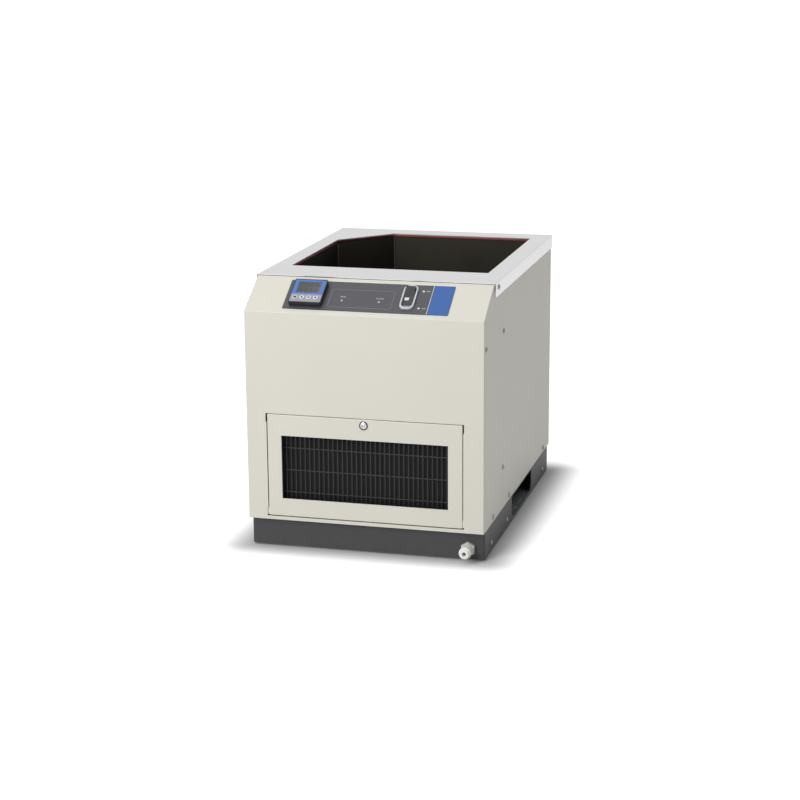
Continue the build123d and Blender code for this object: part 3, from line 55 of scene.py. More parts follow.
Colour = tuple[float, float, float, float]
Point = tuple[float, float, float]
Pair = tuple[float, float]
Pairs = tuple[Pair, ...]
Inputs = tuple[tuple[str, float], ...]
Numbers = float | np.ndarray
Piece = bpy.types.Object
Pairs = tuple[tuple[float, float], ...]
Inputs = tuple[tuple[str, float], ...]
Numbers = float | np.ndarray


def tint(red: int, green: int, blue: int) -> Colour:
    """Turn a screen colour into a linear one: c / 12.92 below 0.04045, else the 2.4th power law.

    Args:
        red: screen red, 0 to 255.
        green: screen green, 0 to 255.
        blue: screen blue, 0 to 255.

    Returns:
        Linear red, green, blue and an alpha of 1.
    """
    screen = np.array([red, green, blue]) / 255
    linear = np.where(screen < 0.04045, screen / 12.92, ((screen + 0.055) / 1.055) ** 2.4)
    return (*(float(value) for value in linear), 1.0)


# Shader expressions


class Term:
    """One output socket of a node tree, with arithmetic that adds Math nodes."""

    def __init__(self, home: "Tree", socket: bpy.types.NodeSocket) -> None:
        """Keep the tree that the value belongs to and the socket it comes from."""
        self.home = home
        self.socket = socket

    def __add__(self, other: "Term | float") -> "Term":
        """Sum of this value and another."""
        return self.home.math("ADD", self, other)

    def __sub__(self, other: "Term | float") -> "Term":
        """This value less another."""
        return self.home.math("SUBTRACT", self, other)

    def __rsub__(self, other: float) -> "Term":
        """A number less this value."""
        return self.home.math("SUBTRACT", other, self)

    def __mul__(self, other: "Term | float") -> "Term":
        """Product of this value and another."""
        return self.home.math("MULTIPLY", self, other)

    def __gt__(self, other: "Term | float") -> "Term":
        """1 where this value is the greater, else 0."""
        return self.home.math("GREATER_THAN", self, other)

    def __abs__(self) -> "Term":
        """This value without its sign."""
        return self.home.math("ABSOLUTE", self)

    __radd__ = __add__
    __rmul__ = __mul__

    def root(self) -> "Term":
        """The square root of this value."""
        return self.home.math("SQRT", self)

    def most(self, other: "Term | float") -> "Term":
        """The greater of this value and another."""
        return self.home.math("MAXIMUM", self, other)

    def between(self, low: float, high: float) -> "Term":
        """Rise smoothly from 0 at low to 1 at high.

        Args:
            low: where the rise starts.
            high: where it ends.

        Returns:
            3 t^2 - 2 t^3, with t = (value - low) / (high - low) held between 0 and 1.
        """
        settings = {"interpolation_type": "SMOOTHSTEP"}
        sockets = {"Value": self, "From Min": low, "From Max": high}
        return self.home.node("ShaderNodeMapRange", settings, sockets)


class Tree:
    """A node tree that is filled by expressions."""

    def __init__(self, tree: bpy.types.NodeTree) -> None:
        """Keep the tree that gets the nodes."""
        self.tree = tree

    def node(
        self,
        kind: str,
        settings: Mapping[str, object] | None = None,
        sockets: Mapping[int | str, object] | None = None,
        output: int | str = 0,
    ) -> Term:
        """Add any node.

        Args:
            kind: the node's type.
            settings: its properties, set first.
            sockets: values or links of its inputs, by index or name.
            output: index or name of the output that is returned.

        Returns:
            The chosen output.
        """
        made = self.tree.nodes.new(kind)
        for key, value in (settings or {}).items():
            setattr(made, key, value)
        for key, value in (sockets or {}).items():
            self.feed(made.inputs[key], value)
        return Term(self, made.outputs[output])

    def feed(self, socket: bpy.types.NodeSocket, value: object) -> None:
        """Link a term to a socket, or set the socket to a plain value."""
        if isinstance(value, Term):
            self.tree.links.new(value.socket, socket)
        else:
            socket.default_value = value

    def math(self, operation: str, *values: Term | float) -> Term:
        """Add a Math node of that operation, with the values as its inputs in order."""
        return self.node("ShaderNodeMath", {"operation": operation}, dict(enumerate(values)))

    def seen(self) -> Term:
        """1 for rays from the eye, also mirrored or let through, and 0 for those that only light."""
        rays = ("Is Camera Ray", "Is Glossy Ray", "Is Transmission Ray")
        eye, mirrored, through = (self.node("ShaderNodeLightPath", output=ray) for ray in rays)
        return eye.most(mirrored).most(through)


class Recipe(Tree):
    """The node tree of one material, from its coordinates to its Principled shader."""

    def __init__(self, name: str) -> None:
        """Make the named material with an unfed shader."""
        self.material = bpy.data.materials.new(name)
        self.material.use_nodes = True
        super().__init__(self.material.node_tree)
        self.tree.nodes.clear()
        self.shader = self.tree.nodes.new("ShaderNodeBsdfPrincipled")
        output = self.tree.nodes.new("ShaderNodeOutputMaterial")
        self.tree.links.new(self.shader.outputs[0], output.inputs["Surface"])

    def set(self, **inputs: object) -> None:
        """Feed inputs of the Principled shader, named with underscores for spaces."""
        for key, value in inputs.items():
            self.feed(self.shader.inputs[key.replace("_", " ")], value)

    def place(self, scale: Point = (1.0, 1.0, 1.0)) -> Term:
        """Object coordinates in metres, each multiplied by its scale."""
        here = self.node("ShaderNodeTexCoord", output="Object")
        if scale == (1.0, 1.0, 1.0):
            return here
        return self.node("ShaderNodeVectorMath", {"operation": "MULTIPLY"}, {0: here, 1: scale})

    def axis(self, name: str) -> Term:
        """The X, Y or Z of the Object coordinates."""
        return self.node("ShaderNodeSeparateXYZ", None, {0: self.place()}, name)

    def noise(self, size: float, detail: float = 2.0, stretch: Point = (1.0, 1.0, 1.0)) -> Term:
        """Smooth noise between 0 and 1.

        Args:
            size: size of its largest lumps in metres.
            detail: number of finer octaves.
            stretch: how much longer the lumps are along each axis.

        Returns:
            The noise value.
        """
        scale = tuple(1.0 / along for along in stretch)
        sockets = {"Vector": self.place(scale), "Scale": 1.0 / size, "Detail": detail}
        return self.node("ShaderNodeTexNoise", None, sockets)

    def cells(self, size: float, feature: str = "F1") -> Term:
        """Distance field of random cells of a given size in metres."""
        sockets = {"Vector": self.place(), "Scale": 1.0 / size}
        return self.node("ShaderNodeTexVoronoi", {"feature": feature}, sockets, "Distance")

    def blend(self, factor: Term | float, first: Term | Colour, second: Term | Colour) -> Term:
        """Mix two colours: the first at factor 0, the second at factor 1."""
        sockets = {0: factor, 6: first, 7: second}
        return self.node("ShaderNodeMix", {"data_type": "RGBA"}, sockets, 2)

    def bump(self, height: Term, depth: float) -> None:
        """Feed the normal from a height between 0 and 1, whose full relief is depth metres."""
        sockets = {"Height": height, "Distance": depth, "Strength": 1.0}
        self.set(Normal=self.node("ShaderNodeBump", None, sockets))


def shade(colour: Colour, factor: float) -> Colour:
    """The colour with each channel multiplied by factor."""
    return (colour[0] * factor, colour[1] * factor, colour[2] * factor, 1.0)


# Finishes

METAL: Inputs = (("Metallic", 1.0),)
MATT_COAT: Inputs = (("Specular_IOR_Level", 0.4),)
CLEAR_SKIN: Inputs = (("Coat_Weight", 0.6), ("Coat_Roughness", 0.05))
MILKY: Inputs = (("Subsurface_Weight", 0.2), ("Subsurface_Scale", 0.004))


@dataclass(frozen=True)
class Finish:
    """A colour that drifts in clouds, with a fine grain in its gloss and its relief.

    The colour is multiplied by a share that goes from low_shade to high_shade with the clouds. The
    roughness moves by swing * (grain - 0.5), and the grain stands relief metres deep.
    """

    name: str
    colour: Colour
    roughness: float = 0.5
    cloud: float = 0.03
    cloud_detail: float = 2.0
    low_shade: float = 0.94
    high_shade: float = 1.05
    grain: float = 0.0007
    grain_detail: float = 2.0
    swing: float = 0.12
    relief: float = 0.0
    inputs: Inputs = ()

    @functools.lru_cache(maxsize=None)
    def material(self) -> bpy.types.Material:
        """The finish as one material, made once."""
        recipe = Recipe(self.name)
        self.cook(recipe)
        return recipe.material

    def cook(self, recipe: Recipe) -> None:
        """Fill the material's empty recipe with the colour, the gloss and the relief."""
        grain = self.surface(recipe)
        gloss = self.roughness + self.swing * (grain - 0.5)
        recipe.set(Base_Color=self.paint(recipe), Roughness=gloss, **dict(self.inputs))
        if self.relief:
            recipe.bump(grain, self.relief)

    def surface(self, recipe: Recipe) -> Term:
        """The grain: fine noise between 0 and 1."""
        return recipe.noise(self.grain, self.grain_detail)

    def paint(self, recipe: Recipe) -> Term:
        """The colour in its clouds."""
        return self.shades(recipe, recipe.noise(self.cloud, self.cloud_detail))

    def shades(self, recipe: Recipe, factor: Term) -> Term:
        """The colour from its low shade at factor 0 to its high shade at factor 1."""
        low, high = shade(self.colour, self.low_shade), shade(self.colour, self.high_shade)
        return recipe.blend(factor, low, high)


@dataclass(frozen=True)
class PowderCoat(Finish):
    """Baked powder paint: fine orange peel, faint mottling, and dust near the table."""

    cloud: float = 0.09
    cloud_detail: float = 3.0
    low_shade: float = 0.975
    high_shade: float = 1.02
    grain: float = 0.0012
    swing: float = 0.1
    relief: float = 0.00002
    inputs: Inputs = MATT_COAT
    dust: float = 0.0
    dust_colour: Colour = tint(150, 146, 138)
    dust_height: float = 0.03
    dust_cloud: float = 0.012
    dust_detail: float = 4.0

    def paint(self, recipe: Recipe) -> Term:
        """The mottled colour, with dust that thins out upwards to the dust height."""
        colour = super().paint(recipe)
        if not self.dust:
            return colour
        low = 1 - recipe.axis("Z").between(0.0, self.dust_height)
        grime = low * recipe.noise(self.dust_cloud, self.dust_detail) * self.dust
        return recipe.blend(grime, colour, self.dust_colour)


class Brushing(Enum):
    """Which way the scratches of brushed sheet run, as their stretch along each axis."""

    ACROSS = (60.0, 1.0, 1.0)
    UPRIGHT = (1.0, 1.0, 60.0)


@dataclass(frozen=True)
class BrushedSteel(Finish):
    """Stainless sheet whose long fine scratches streak the colour, the gloss and the relief."""

    cloud: float = 0.06
    low_shade: float = 0.88
    high_shade: float = 1.12
    grain: float = 0.0009
    grain_detail: float = 3.0
    swing: float = 0.14
    relief: float = 0.000012
    way: Brushing = Brushing.ACROSS
    streaks: float = 0.7
    cloud_swing: float = 0.06

    def cook(self, recipe: Recipe) -> None:
        """Fill the recipe: streaks and clouds share the colour, and each moves the gloss."""
        lines = recipe.noise(self.grain, self.grain_detail, self.way.value)
        clouds = recipe.noise(self.cloud, self.cloud_detail)
        gloss = self.roughness + self.swing * (lines - 0.5) + self.cloud_swing * (clouds - 0.5)
        colour = self.shades(recipe, lines * self.streaks + clouds * (1 - self.streaks))
        recipe.set(Base_Color=colour, Roughness=gloss, Metallic=1.0)
        recipe.bump(lines, self.relief)


@dataclass(frozen=True)
class PlainMetal(Finish):
    """Turned, cast or rolled metal with a fine random grain."""

    cloud: float = 0.0008
    cloud_detail: float = 3.0
    high_shade: float = 1.06
    grain: float = 0.0008
    grain_detail: float = 3.0
    relief: float = 0.00001
    inputs: Inputs = METAL


@dataclass(frozen=True)
class Cellular(Finish):
    """Random cells, each of its low shade at the middle: the crystals of a zinc coat."""

    low_shade: float = 0.85
    high_shade: float = 1.1
    swing: float = 0.2
    inputs: Inputs = METAL
    cell: float = 0.007

    def surface(self, recipe: Recipe) -> Term:
        """The distance from the middle of the cell."""
        return recipe.cells(self.cell)

    def paint(self, recipe: Recipe) -> Term:
        """The colour, shaded from the middle of each cell outwards."""
        return self.shades(recipe, self.surface(recipe))


@dataclass(frozen=True)
class CellFoam(Cellular):
    """Foam with pale strands, where the middle of each cell is painted dark: painted shade in the pores.
    """

    low_shade: float = 0.45
    high_shade: float = 1.3
    swing: float = 0.0
    relief: float = 0.0004
    inputs: Inputs = ()
    cell: float = 0.0016


@dataclass(frozen=True)
class Moulded(Finish):
    """Moulded plastic with faint colour drift and a fine spark-eroded texture."""

    relief: float = 0.000015


@dataclass(frozen=True)
class SoftRubber(Finish):
    """Moulded rubber or silicone, dull with a pale bloom in patches."""

    cloud: float = 0.006
    cloud_detail: float = 4.0
    grain: float = 0.0006
    swing: float = 0.1
    relief: float = 0.00003
    bloom: float = 0.08
    bloom_colour: Colour = tint(200, 190, 180)

    def cook(self, recipe: Recipe) -> None:
        """Fill the recipe: the patches move colour and gloss, the grain is the relief."""
        patches = recipe.noise(self.cloud, self.cloud_detail)
        pale = recipe.blend(patches * self.bloom, self.colour, self.bloom_colour)
        recipe.set(Base_Color=pale, Roughness=self.roughness + self.swing * (patches - 0.5))
        recipe.bump(self.surface(recipe), self.relief)


@dataclass(frozen=True)
class Lens(Finish):
    """Glossy coloured lens or glass, darker in cloudy patches under a clear skin."""

    cloud: float = 0.002
    low_shade: float = 1.0
    high_shade: float = 0.85
    grain: float = 0.002
    swing: float = 0.03
    inputs: Inputs = CLEAR_SKIN


@dataclass(frozen=True)
class Ink(Finish):
    """Screen-printed ink: flat and even, with a faint mesh grain."""

    cloud: float = 0.0004
    high_shade: float = 1.0
    grain: float = 0.0004
    swing: float = 0.08


@dataclass(frozen=True)
class Parted(Finish):
    """A printed face whose colour changes past a line across one axis."""

    axis: str = "Z"
    line: float = 0.0
    beyond: Colour = (0.0, 0.0, 1.0, 1.0)

    def paint(self, recipe: Recipe) -> Term:
        """The drifting colour up to the line, and the other colour past it."""
        return recipe.blend(recipe.axis(self.axis) > self.line, super().paint(recipe), self.beyond)


@dataclass(frozen=True)
class CircuitBoard(Finish):
    """Green board with paler tracks, and dark parts above its top."""

    swing: float = 0.1
    cell: float = 0.004
    track: float = 0.12
    track_shade: float = 1.8
    board_top: float = 0.0
    parts: Colour = tint(38, 38, 42)

    def cook(self, recipe: Recipe) -> None:
        """Fill the recipe: tracks along the borders of random cells, dark above the board."""
        border = recipe.cells(self.cell, "DISTANCE_TO_EDGE")
        paler = shade(self.colour, self.track_shade)
        green = recipe.blend(border.between(0.0, self.track), paler, self.colour)
        colour = recipe.blend(recipe.axis("Z") > self.board_top, green, self.parts)
        recipe.set(Base_Color=colour, Roughness=self.roughness + self.swing * border)


BEIGE = PowderCoat("beige_powder", tint(218, 215, 203), 0.42)
DARK_COAT = PowderCoat("dark_powder", tint(60, 60, 62), 0.55, dust=0.1)
ZINC = Cellular("zinc_sheet", tint(176, 180, 183), 0.44)
TOP_STEEL = BrushedSteel("top_steel", tint(205, 205, 206), 0.34)
TANK_STEEL = BrushedSteel("tank_steel", tint(58, 56, 50), 0.42, way=Brushing.UPRIGHT)
BLACK = Moulded("black_plastic", tint(30, 30, 32), 0.42)
SILVER = Moulded("silver_plastic", tint(178, 180, 184), 0.3, relief=0.000006)
WHITE = Moulded("white_plastic", tint(238, 238, 235), 0.35)
PALE_GREY = Moulded("grey_plastic", tint(200, 202, 204), 0.4)
BUTTON = Moulded("button_plastic", tint(226, 230, 236), 0.4)
RIM = Moulded("switch_rim", tint(206, 208, 210), 0.22, relief=0.000004)
CERAMIC = Moulded("ceramic", tint(232, 232, 228), 0.6)
DISPLAY = Lens("display_glass", tint(38, 40, 40), 0.135)
GREEN_LENS = Lens("green_lens", tint(160, 164, 160), 0.195)
RED_LENS = Lens("red_lens", tint(166, 160, 158), 0.195)
# white print, and also the painted highlight on the rocker
WHITE_INK_AND_HIGHLIGHT = Ink("white_ink_and_highlight", tint(225, 225, 230), 0.5)
GREY_INK = Ink("grey_ink", tint(130, 130, 138), 0.5)
DARK_INK = Ink("dark_ink", tint(44, 44, 52), 0.5)
DIM_DIGIT = Ink("dim_digit", tint(58, 54, 50), 0.4)
RED_SILICONE = SoftRubber("red_silicone", tint(120, 30, 20), 0.55)
BLACK_RUBBER = SoftRubber("black_rubber", tint(32, 32, 34), 0.7)
# painted shadow: the dark finish of the bar in the gap under the top plate's front edge
PAINTED_GAP_SHADOW = SoftRubber("seam_shadow", tint(84, 78, 68), 0.8)
JACKET_FOAM = CellFoam("jacket_foam", tint(60, 60, 63), 0.9, cell=0.0025)
FILTER_FOAM = CellFoam("filter_foam", tint(16, 16, 18), 0.95)
ALUMINIUM = PlainMetal("aluminium", tint(205, 207, 210), 0.35)
BRIGHT = PlainMetal("bright_metal", tint(190, 190, 192), 0.28)
SCREW_STEEL = PlainMetal("screw_steel", tint(138, 136, 130), 0.35)
WELD = PlainMetal("weld_bead", tint(92, 90, 82), 0.5)
DARK_STEEL = PlainMetal("dark_steel", tint(62, 61, 58), 0.35)
WIRE = PlainMetal("guard_wire", tint(66, 66, 67), 0.5)
BOARD = CircuitBoard("circuit_board", tint(30, 92, 52), 0.45)
HOSE = Finish(
    "clear_hose", tint(226, 226, 216), 0.3, cloud=0.01, cloud_detail=3.0, low_shade=0.9, high_shade=1.0,
    grain=0.01, grain_detail=3.0, swing=0.1, inputs=MILKY,
)
FACE = Parted(
    "controller_face", tint(150, 151, 162), 0.35, low_shade=1.0, high_shade=1.0, grain=0.0008,
    swing=0.08, relief=0.00001, line=0.3752, beyond=tint(62, 112, 186),
)
FILM = Parted(
    "control_film", tint(64, 64, 71), 0.45, cloud=0.05, low_shade=0.95, high_shade=1.06, grain=0.0006,
    swing=0.1, relief=0.00002, axis="X", line=0.0915, beyond=tint(34, 86, 160),
)


# Shapes

NEARLY_UPRIGHT = 0.9
MERGE_DISTANCE = 0.000001
CAPITAL_SHARE = 0.7
LETTER_SPACING = 1.06


@dataclass(frozen=True)
class Placement:
    """A local frame in the part's frame: an origin and the local x, y and z directions."""

    origin: Point
    x: Point = (1.0, 0.0, 0.0)
    y: Point = (0.0, 1.0, 0.0)
    z: Point = (0.0, 0.0, 1.0)

    def part(self, points: np.ndarray) -> np.ndarray:
        """Local points in the part's frame: origin + px * x + py * y + pz * z."""
        return np.asarray(self.origin) + points @ np.array([self.x, self.y, self.z])

    def moved(self, x: float, y: float, z: float = 0.0) -> "Placement":
        """The same directions from an origin moved by a local step."""
        origin = self.part(np.array([x, y, z]))
        return Placement(tuple(float(value) for value in origin), self.x, self.y, self.z)


def upright(origin: Point, outwards: Point) -> Placement:
    """Placement on an upright face: local y up, z outwards and x = up x outwards."""
    return Placement(origin, (-outwards[1], outwards[0], 0.0), (0.0, 0.0, 1.0), outwards)


def circle(radius: float, sides: int, turn: float = 0.0) -> np.ndarray:
    """Points (radius cos t, radius sin t) of a circle, with t in equal steps from turn."""
    t = turn + np.arange(sides) * 2 * math.pi / sides
    return radius * np.stack([np.cos(t), np.sin(t)], axis=-1)


def prism(outline: np.ndarray, height: float) -> np.ndarray:
    """Two rings of a flat outline (x, y), at z = 0 and at a height, shaped (2, points, 3)."""
    rings = np.zeros((2, len(outline), 3))
    rings[..., :2] = outline
    rings[1, :, 2] = height
    return rings


def spread(x: Numbers, y: Numbers, z: Numbers) -> np.ndarray:
    """Points shaped (n, 3) from coordinates that are each one number or a row of n."""
    return np.atleast_2d(np.stack(np.broadcast_arrays(x, y, z), axis=-1))


def turned(profile: Sequence[Pair], sides: int = 32) -> np.ndarray:
    """Turn a profile round the local z axis.

    Each profile point (r, h) gives the ring (r cos t, r sin t, h), with t in equal steps.

    Args:
        profile: radius and height of each ring, in order along the surface.
        sides: points round each ring.

    Returns:
        Points shaped (rings, sides, 3).
    """
    r, h = np.array(profile, float).T
    points = np.empty((len(r), sides, 3))
    points[..., :2] = r[:, None, None] * circle(1.0, sides)
    points[..., 2] = h[:, None]
    return points


def tubes(starts: np.ndarray, ends: np.ndarray, radius: float, sides: int = 10) -> np.ndarray:
    """Straight round bars, each a circle carried from its start to its end.

    Point = start + s (end - start) + radius (cos t a + sin t b), with a and b across the bar.

    Args:
        starts: start points shaped (bars, 3).
        ends: end points shaped (bars, 3).
        radius: radius of every bar.
        sides: points round each bar.

    Returns:
        Points shaped (bars, 2, sides, 3).
    """
    along = (ends - starts) / np.linalg.norm(ends - starts, axis=1, keepdims=True)
    helper = np.where(np.abs(along[:, 2:]) > NEARLY_UPRIGHT, [[1.0, 0.0, 0.0]], [[0.0, 0.0, 1.0]])
    a = np.cross(along, helper)
    a /= np.linalg.norm(a, axis=1, keepdims=True)
    b = np.cross(along, a)
    cos, sin = circle(radius, sides).T
    ring = cos[None, :, None] * a[:, None] + sin[None, :, None] * b[:, None]
    return np.stack([starts[:, None] + ring, ends[:, None] + ring], axis=1)


def cross_head(radius: float, height: float, sides: int = 48, rings: int = 14) -> np.ndarray:
    """Domed screw head with a cross recess, over the local z = 0 plane.

    Height at (r, t) is height * (1 - 0.6 (r / radius)^2) down to 0.3 of it at the rim, less the
    recess, which is 0.7 of the height deep where the point lies within a seventh of the radius
    of either arm and no further out than 0.62 of the radius.

    Args:
        radius: radius of the head.
        height: height of its crown.
        sides: points round each ring.
        rings: rings from the middle to the rim.

    Returns:
        Points shaped (rings + 1, sides, 3), the last ring on the plane.
    """
    r = np.linspace(0.02, 1.0, rings)[:, None] * radius
    t = np.arange(sides)[None, :] * 2 * math.pi / sides
    x, y = r * np.cos(t), r * np.sin(t)
    arm = (np.minimum(np.abs(x), np.abs(y)) < radius / 7) & (r < 0.62 * radius)
    z = height * (1 - 0.6 * (r / radius) ** 2) - 0.7 * height * arm
    dome = np.stack([x, y, np.broadcast_to(z, x.shape)], axis=-1)
    foot = dome[-1:].copy()
    foot[..., 2] = 0.0
    return np.concatenate([dome, foot])


def carried(outline: np.ndarray, profile: np.ndarray) -> np.ndarray:
    """Carry a profile round a closed flat outline with mitred corners.

    At each corner, a profile point (u, h) lies u times the mitre vector outwards and h up. The
    mitre vector bisects the corner and is 1 / cos(half turn) long, so every side keeps its width.

    Args:
        outline: corners (x, y) in counterclockwise order.
        profile: closed loop of (outward, height) pairs.

    Returns:
        Points shaped (corners, profile points, 3).
    """
    ahead = np.roll(outline, -1, axis=0) - outline
    ahead /= np.linalg.norm(ahead, axis=1, keepdims=True)
    behind = np.roll(ahead, 1, axis=0)
    normals = np.stack([ahead[:, 1], -ahead[:, 0]], axis=1)
    before = np.stack([behind[:, 1], -behind[:, 0]], axis=1)
    mitre = normals + before
    mitre /= np.sum(mitre * normals, axis=1, keepdims=True)
    points = np.empty((len(outline), len(profile), 3))
    points[..., :2] = outline[:, None] + profile[None, :, :1] * mitre[:, None]
    points[..., 2] = profile[None, :, 1]
    return points


def smooth_loop(
    half_width: float, low: float, high: float, corner: float, steps: int = 4
) -> np.ndarray:
    """Rounded rectangle as a closed profile loop.

    Each corner is a quarter circle: centre + corner (cos t, sin t), with t in equal steps.

    Args:
        half_width: half of its width, about u = 0.
        low: its lowest height.
        high: its highest height.
        corner: radius of its corners.
        steps: points on each quarter circle.

    Returns:
        Counterclockwise (u, height) pairs.
    """
    quarter = np.linspace(0, math.pi / 2, steps)
    middle, half_height = (low + high) / 2, (high - low) / 2
    arcs = []
    for turn, (side, top) in enumerate([(1, 1), (-1, 1), (-1, -1), (1, -1)]):
        t = quarter + turn * math.pi / 2
        u = side * (half_width - corner) + corner * np.cos(t)
        height = middle + top * (half_height - corner) + corner * np.sin(t)
        arcs.append(np.stack([u, height], axis=-1))
    return np.concatenate(arcs)


def put(name: str, data: bpy.types.ID) -> Piece:
    """Put a mesh, lamp or camera into the scene as a new object."""
    thing = bpy.data.objects.new(name, data)
    bpy.context.scene.collection.objects.link(thing)
    return thing


@dataclass(frozen=True)
class ScrewSize:
    """Sizes of a screw with a domed cross head and a plain shank."""

    head_radius: float = 0.004
    head_height: float = 0.002
    shank_radius: float = 0.002
    shank_length: float = 0.007
    sides: int = 16


class Shell:
    """Gathers the surfaces of one piece and makes its mesh."""

    def __init__(self, name: str) -> None:
        """Start an empty piece of that name."""
        self.name = name
        self.points: list[np.ndarray] = []
        self.faces: list[list[int]] = []
        self.count = 0

    def take(self, points: np.ndarray) -> int:
        """Store points and return the index of the first one."""
        first = self.count
        self.points.append(points.reshape(-1, 3))
        self.count += self.points[-1].shape[0]
        return first

    def grid(self, points: np.ndarray, round_rows: bool = False, round_columns: bool = False) -> None:
        """Join a grid of points with quads.

        Args:
            points: points shaped (rows, columns, 3).
            round_rows: True joins the last row to the first.
            round_columns: True joins the last column to the first.
        """
        rows, columns = points.shape[:2]
        index = np.arange(rows * columns).reshape(rows, columns) + self.take(points)
        if round_rows:
            index = np.concatenate([index, index[:1]], axis=0)
        if round_columns:
            index = np.concatenate([index, index[:, :1]], axis=1)
        corners = [index[:-1, :-1], index[:-1, 1:], index[1:, 1:], index[1:, :-1]]
        self.faces += np.stack(corners, axis=-1).reshape(-1, 4).tolist()

    def band(self, points: np.ndarray) -> None:
        """Join a grid of points that closes on itself both ways."""
        self.grid(points, round_rows=True, round_columns=True)

    def cap(self, ring: np.ndarray) -> None:
        """Close a ring of points with one flat face."""
        first = self.take(ring)
        self.faces.append(list(range(first, first + len(ring))))

    def solid(self, rings: np.ndarray) -> None:
        """A closed solid: rings joined one to the next, with a flat cap at each end."""
        self.grid(rings, round_columns=True)
        self.cap(rings[0])
        self.cap(rings[-1])

    def bars(self, starts: np.ndarray, ends: np.ndarray, radius: float) -> None:
        """Straight round bars between points shaped (bars, 3)."""
        for bar in tubes(starts, ends, radius):
            self.solid(bar)

    def soft_box(self, size: Point, corner: float, place: Placement) -> None:
        """Box with rounded upright edges.

        Args:
            size: its width, length and height.
            corner: radius of its four upright edges.
            place: its centre at the foot, with z up through the box.
        """
        loop = smooth_loop(size[0] / 2, -size[1] / 2, size[1] / 2, corner)
        self.solid(place.part(prism(loop, size[2])))

    def screw(self, size: ScrewSize, place: Placement) -> None:
        """A screw whose head sits on the placement's plane."""
        self.solid(place.part(cross_head(size.head_radius, size.head_height)))
        shank = [(size.shank_radius, 0.0), (size.shank_radius, -size.shank_length)]
        self.solid(place.part(turned(shank, size.sides)))

    def build(self, finish: Finish, body: str, slot: str, sharp: float = 35.0) -> Piece:
        """Make the piece, its faces outwards and its edges sharp past an angle.

        Args:
            finish: the finish of the whole piece.
            body: the CAD body it rides on.
            slot: the record's material slot it belongs to; not used.
            sharp: angle in degrees past which an edge is sharp.

        Returns:
            The new object.
        """
        mesh = bpy.data.meshes.new(self.name)
        mesh.from_pydata(np.concatenate(self.points).tolist(), [], self.faces)
        work = bmesh.new()
        work.from_mesh(mesh)
        bmesh.ops.remove_doubles(work, verts=work.verts, dist=MERGE_DISTANCE)
        bmesh.ops.recalc_face_normals(work, faces=work.faces)
        work.to_mesh(mesh)
        work.free()
        mesh.polygons.foreach_set("use_smooth", np.ones(len(mesh.polygons), bool))
        mesh.set_sharp_from_angle(angle=math.radians(sharp))
        mesh.update()
        mesh.materials.append(finish.material())
        piece = put(self.name, mesh)
        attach(piece, body)
        return piece


def letter_points(words: str, height: float) -> tuple[np.ndarray, list[list[int]]]:
    """Outline words as a flat mesh centred on the local origin.

    Args:
        words: the words.
        height: height of the capitals.

    Returns:
        Points shaped (n, 3) and the faces over them.
    """
    curve = bpy.data.curves.new("words", "FONT")
    curve.body = words
    curve.align_x, curve.align_y = "CENTER", "CENTER"
    curve.size = height / CAPITAL_SHARE
    curve.space_character = LETTER_SPACING
    carrier = bpy.data.objects.new("words", curve)
    mesh = bpy.data.meshes.new_from_object(carrier)
    points = np.empty(len(mesh.vertices) * 3, np.float32)
    mesh.vertices.foreach_get("co", points)
    faces = [list(face.vertices) for face in mesh.polygons]
    bpy.data.objects.remove(carrier)
    bpy.data.curves.remove(curve)
    bpy.data.meshes.remove(mesh)
    return points.reshape(-1, 3).astype(float), faces


# Sub-assemblies


class Assembly:
    """Base of the sub-assemblies: the finishes of CAD nodes, and new pieces."""

    coats: ClassVar[Mapping[Finish, Sequence[str]]] = {}

    def pieces(self) -> list[Piece]:
        """Build the new pieces."""
        return []

    def make(self) -> None:
        """Dress the CAD nodes, build the pieces and report both."""
        for finish, names in self.coats.items():
            for name in names:
                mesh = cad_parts[name].data
                mesh.materials.clear()
                mesh.materials.append(finish.material())
                report.info("%s: %s dressed in %s", type(self).__name__, name, finish.name)
        for piece in self.pieces():
            report.info("%s: %s built", type(self).__name__, piece.name)


@dataclass
class Cabinet(Assembly):
    """Painted panels, the base with its feet and the inner frame."""

    coats: ClassVar = {
        BEIGE: ("front_panel", "side_panel_left", "side_panel_right", "rear_panel"),
        DARK_COAT: ("base_skirt",),
        ZINC: ("bottom_plate", "deck_plate", "left_upright", "right_upright", "equipment_shelf"),
    }
    foot_height: float = 0.003
    foot_radius: float = 0.0139
    foot_profile: Pairs = ((0.76, 0.0), (0.9, 0.1), (0.98, 0.5), (1.0, 0.93))
    foot_sides: int = 40
    foot_x: float = 0.140
    foot_y: tuple[float, ...] = (-0.199, 0.214)
    boss_radius: float = 0.003
    boss_top: float = 0.0068
    boss_sides: int = 20

    def pieces(self) -> list[Piece]:
        """The feet: turned pads with a rolled lower edge, each with the boss that holds it.

        The pad's profile is given as shares of its radius and height.
        """
        profile = [(r * self.foot_radius, h * self.foot_height) for r, h in self.foot_profile]
        pad = turned(profile, self.foot_sides)
        boss_low = profile[-1][1]
        boss = turned([(self.boss_radius, boss_low), (self.boss_radius, self.boss_top)], self.boss_sides)
        shell = Shell("foot_set")
        for x in (-self.foot_x, self.foot_x):
            for y in self.foot_y:
                place = Placement((x, y, 0.0))
                shell.solid(place.part(pad))
                shell.solid(place.part(boss))
        feet = shell.build(BLACK_RUBBER, "cabinet", "black_rubber")
        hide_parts("rubber_feet")
        return [feet]


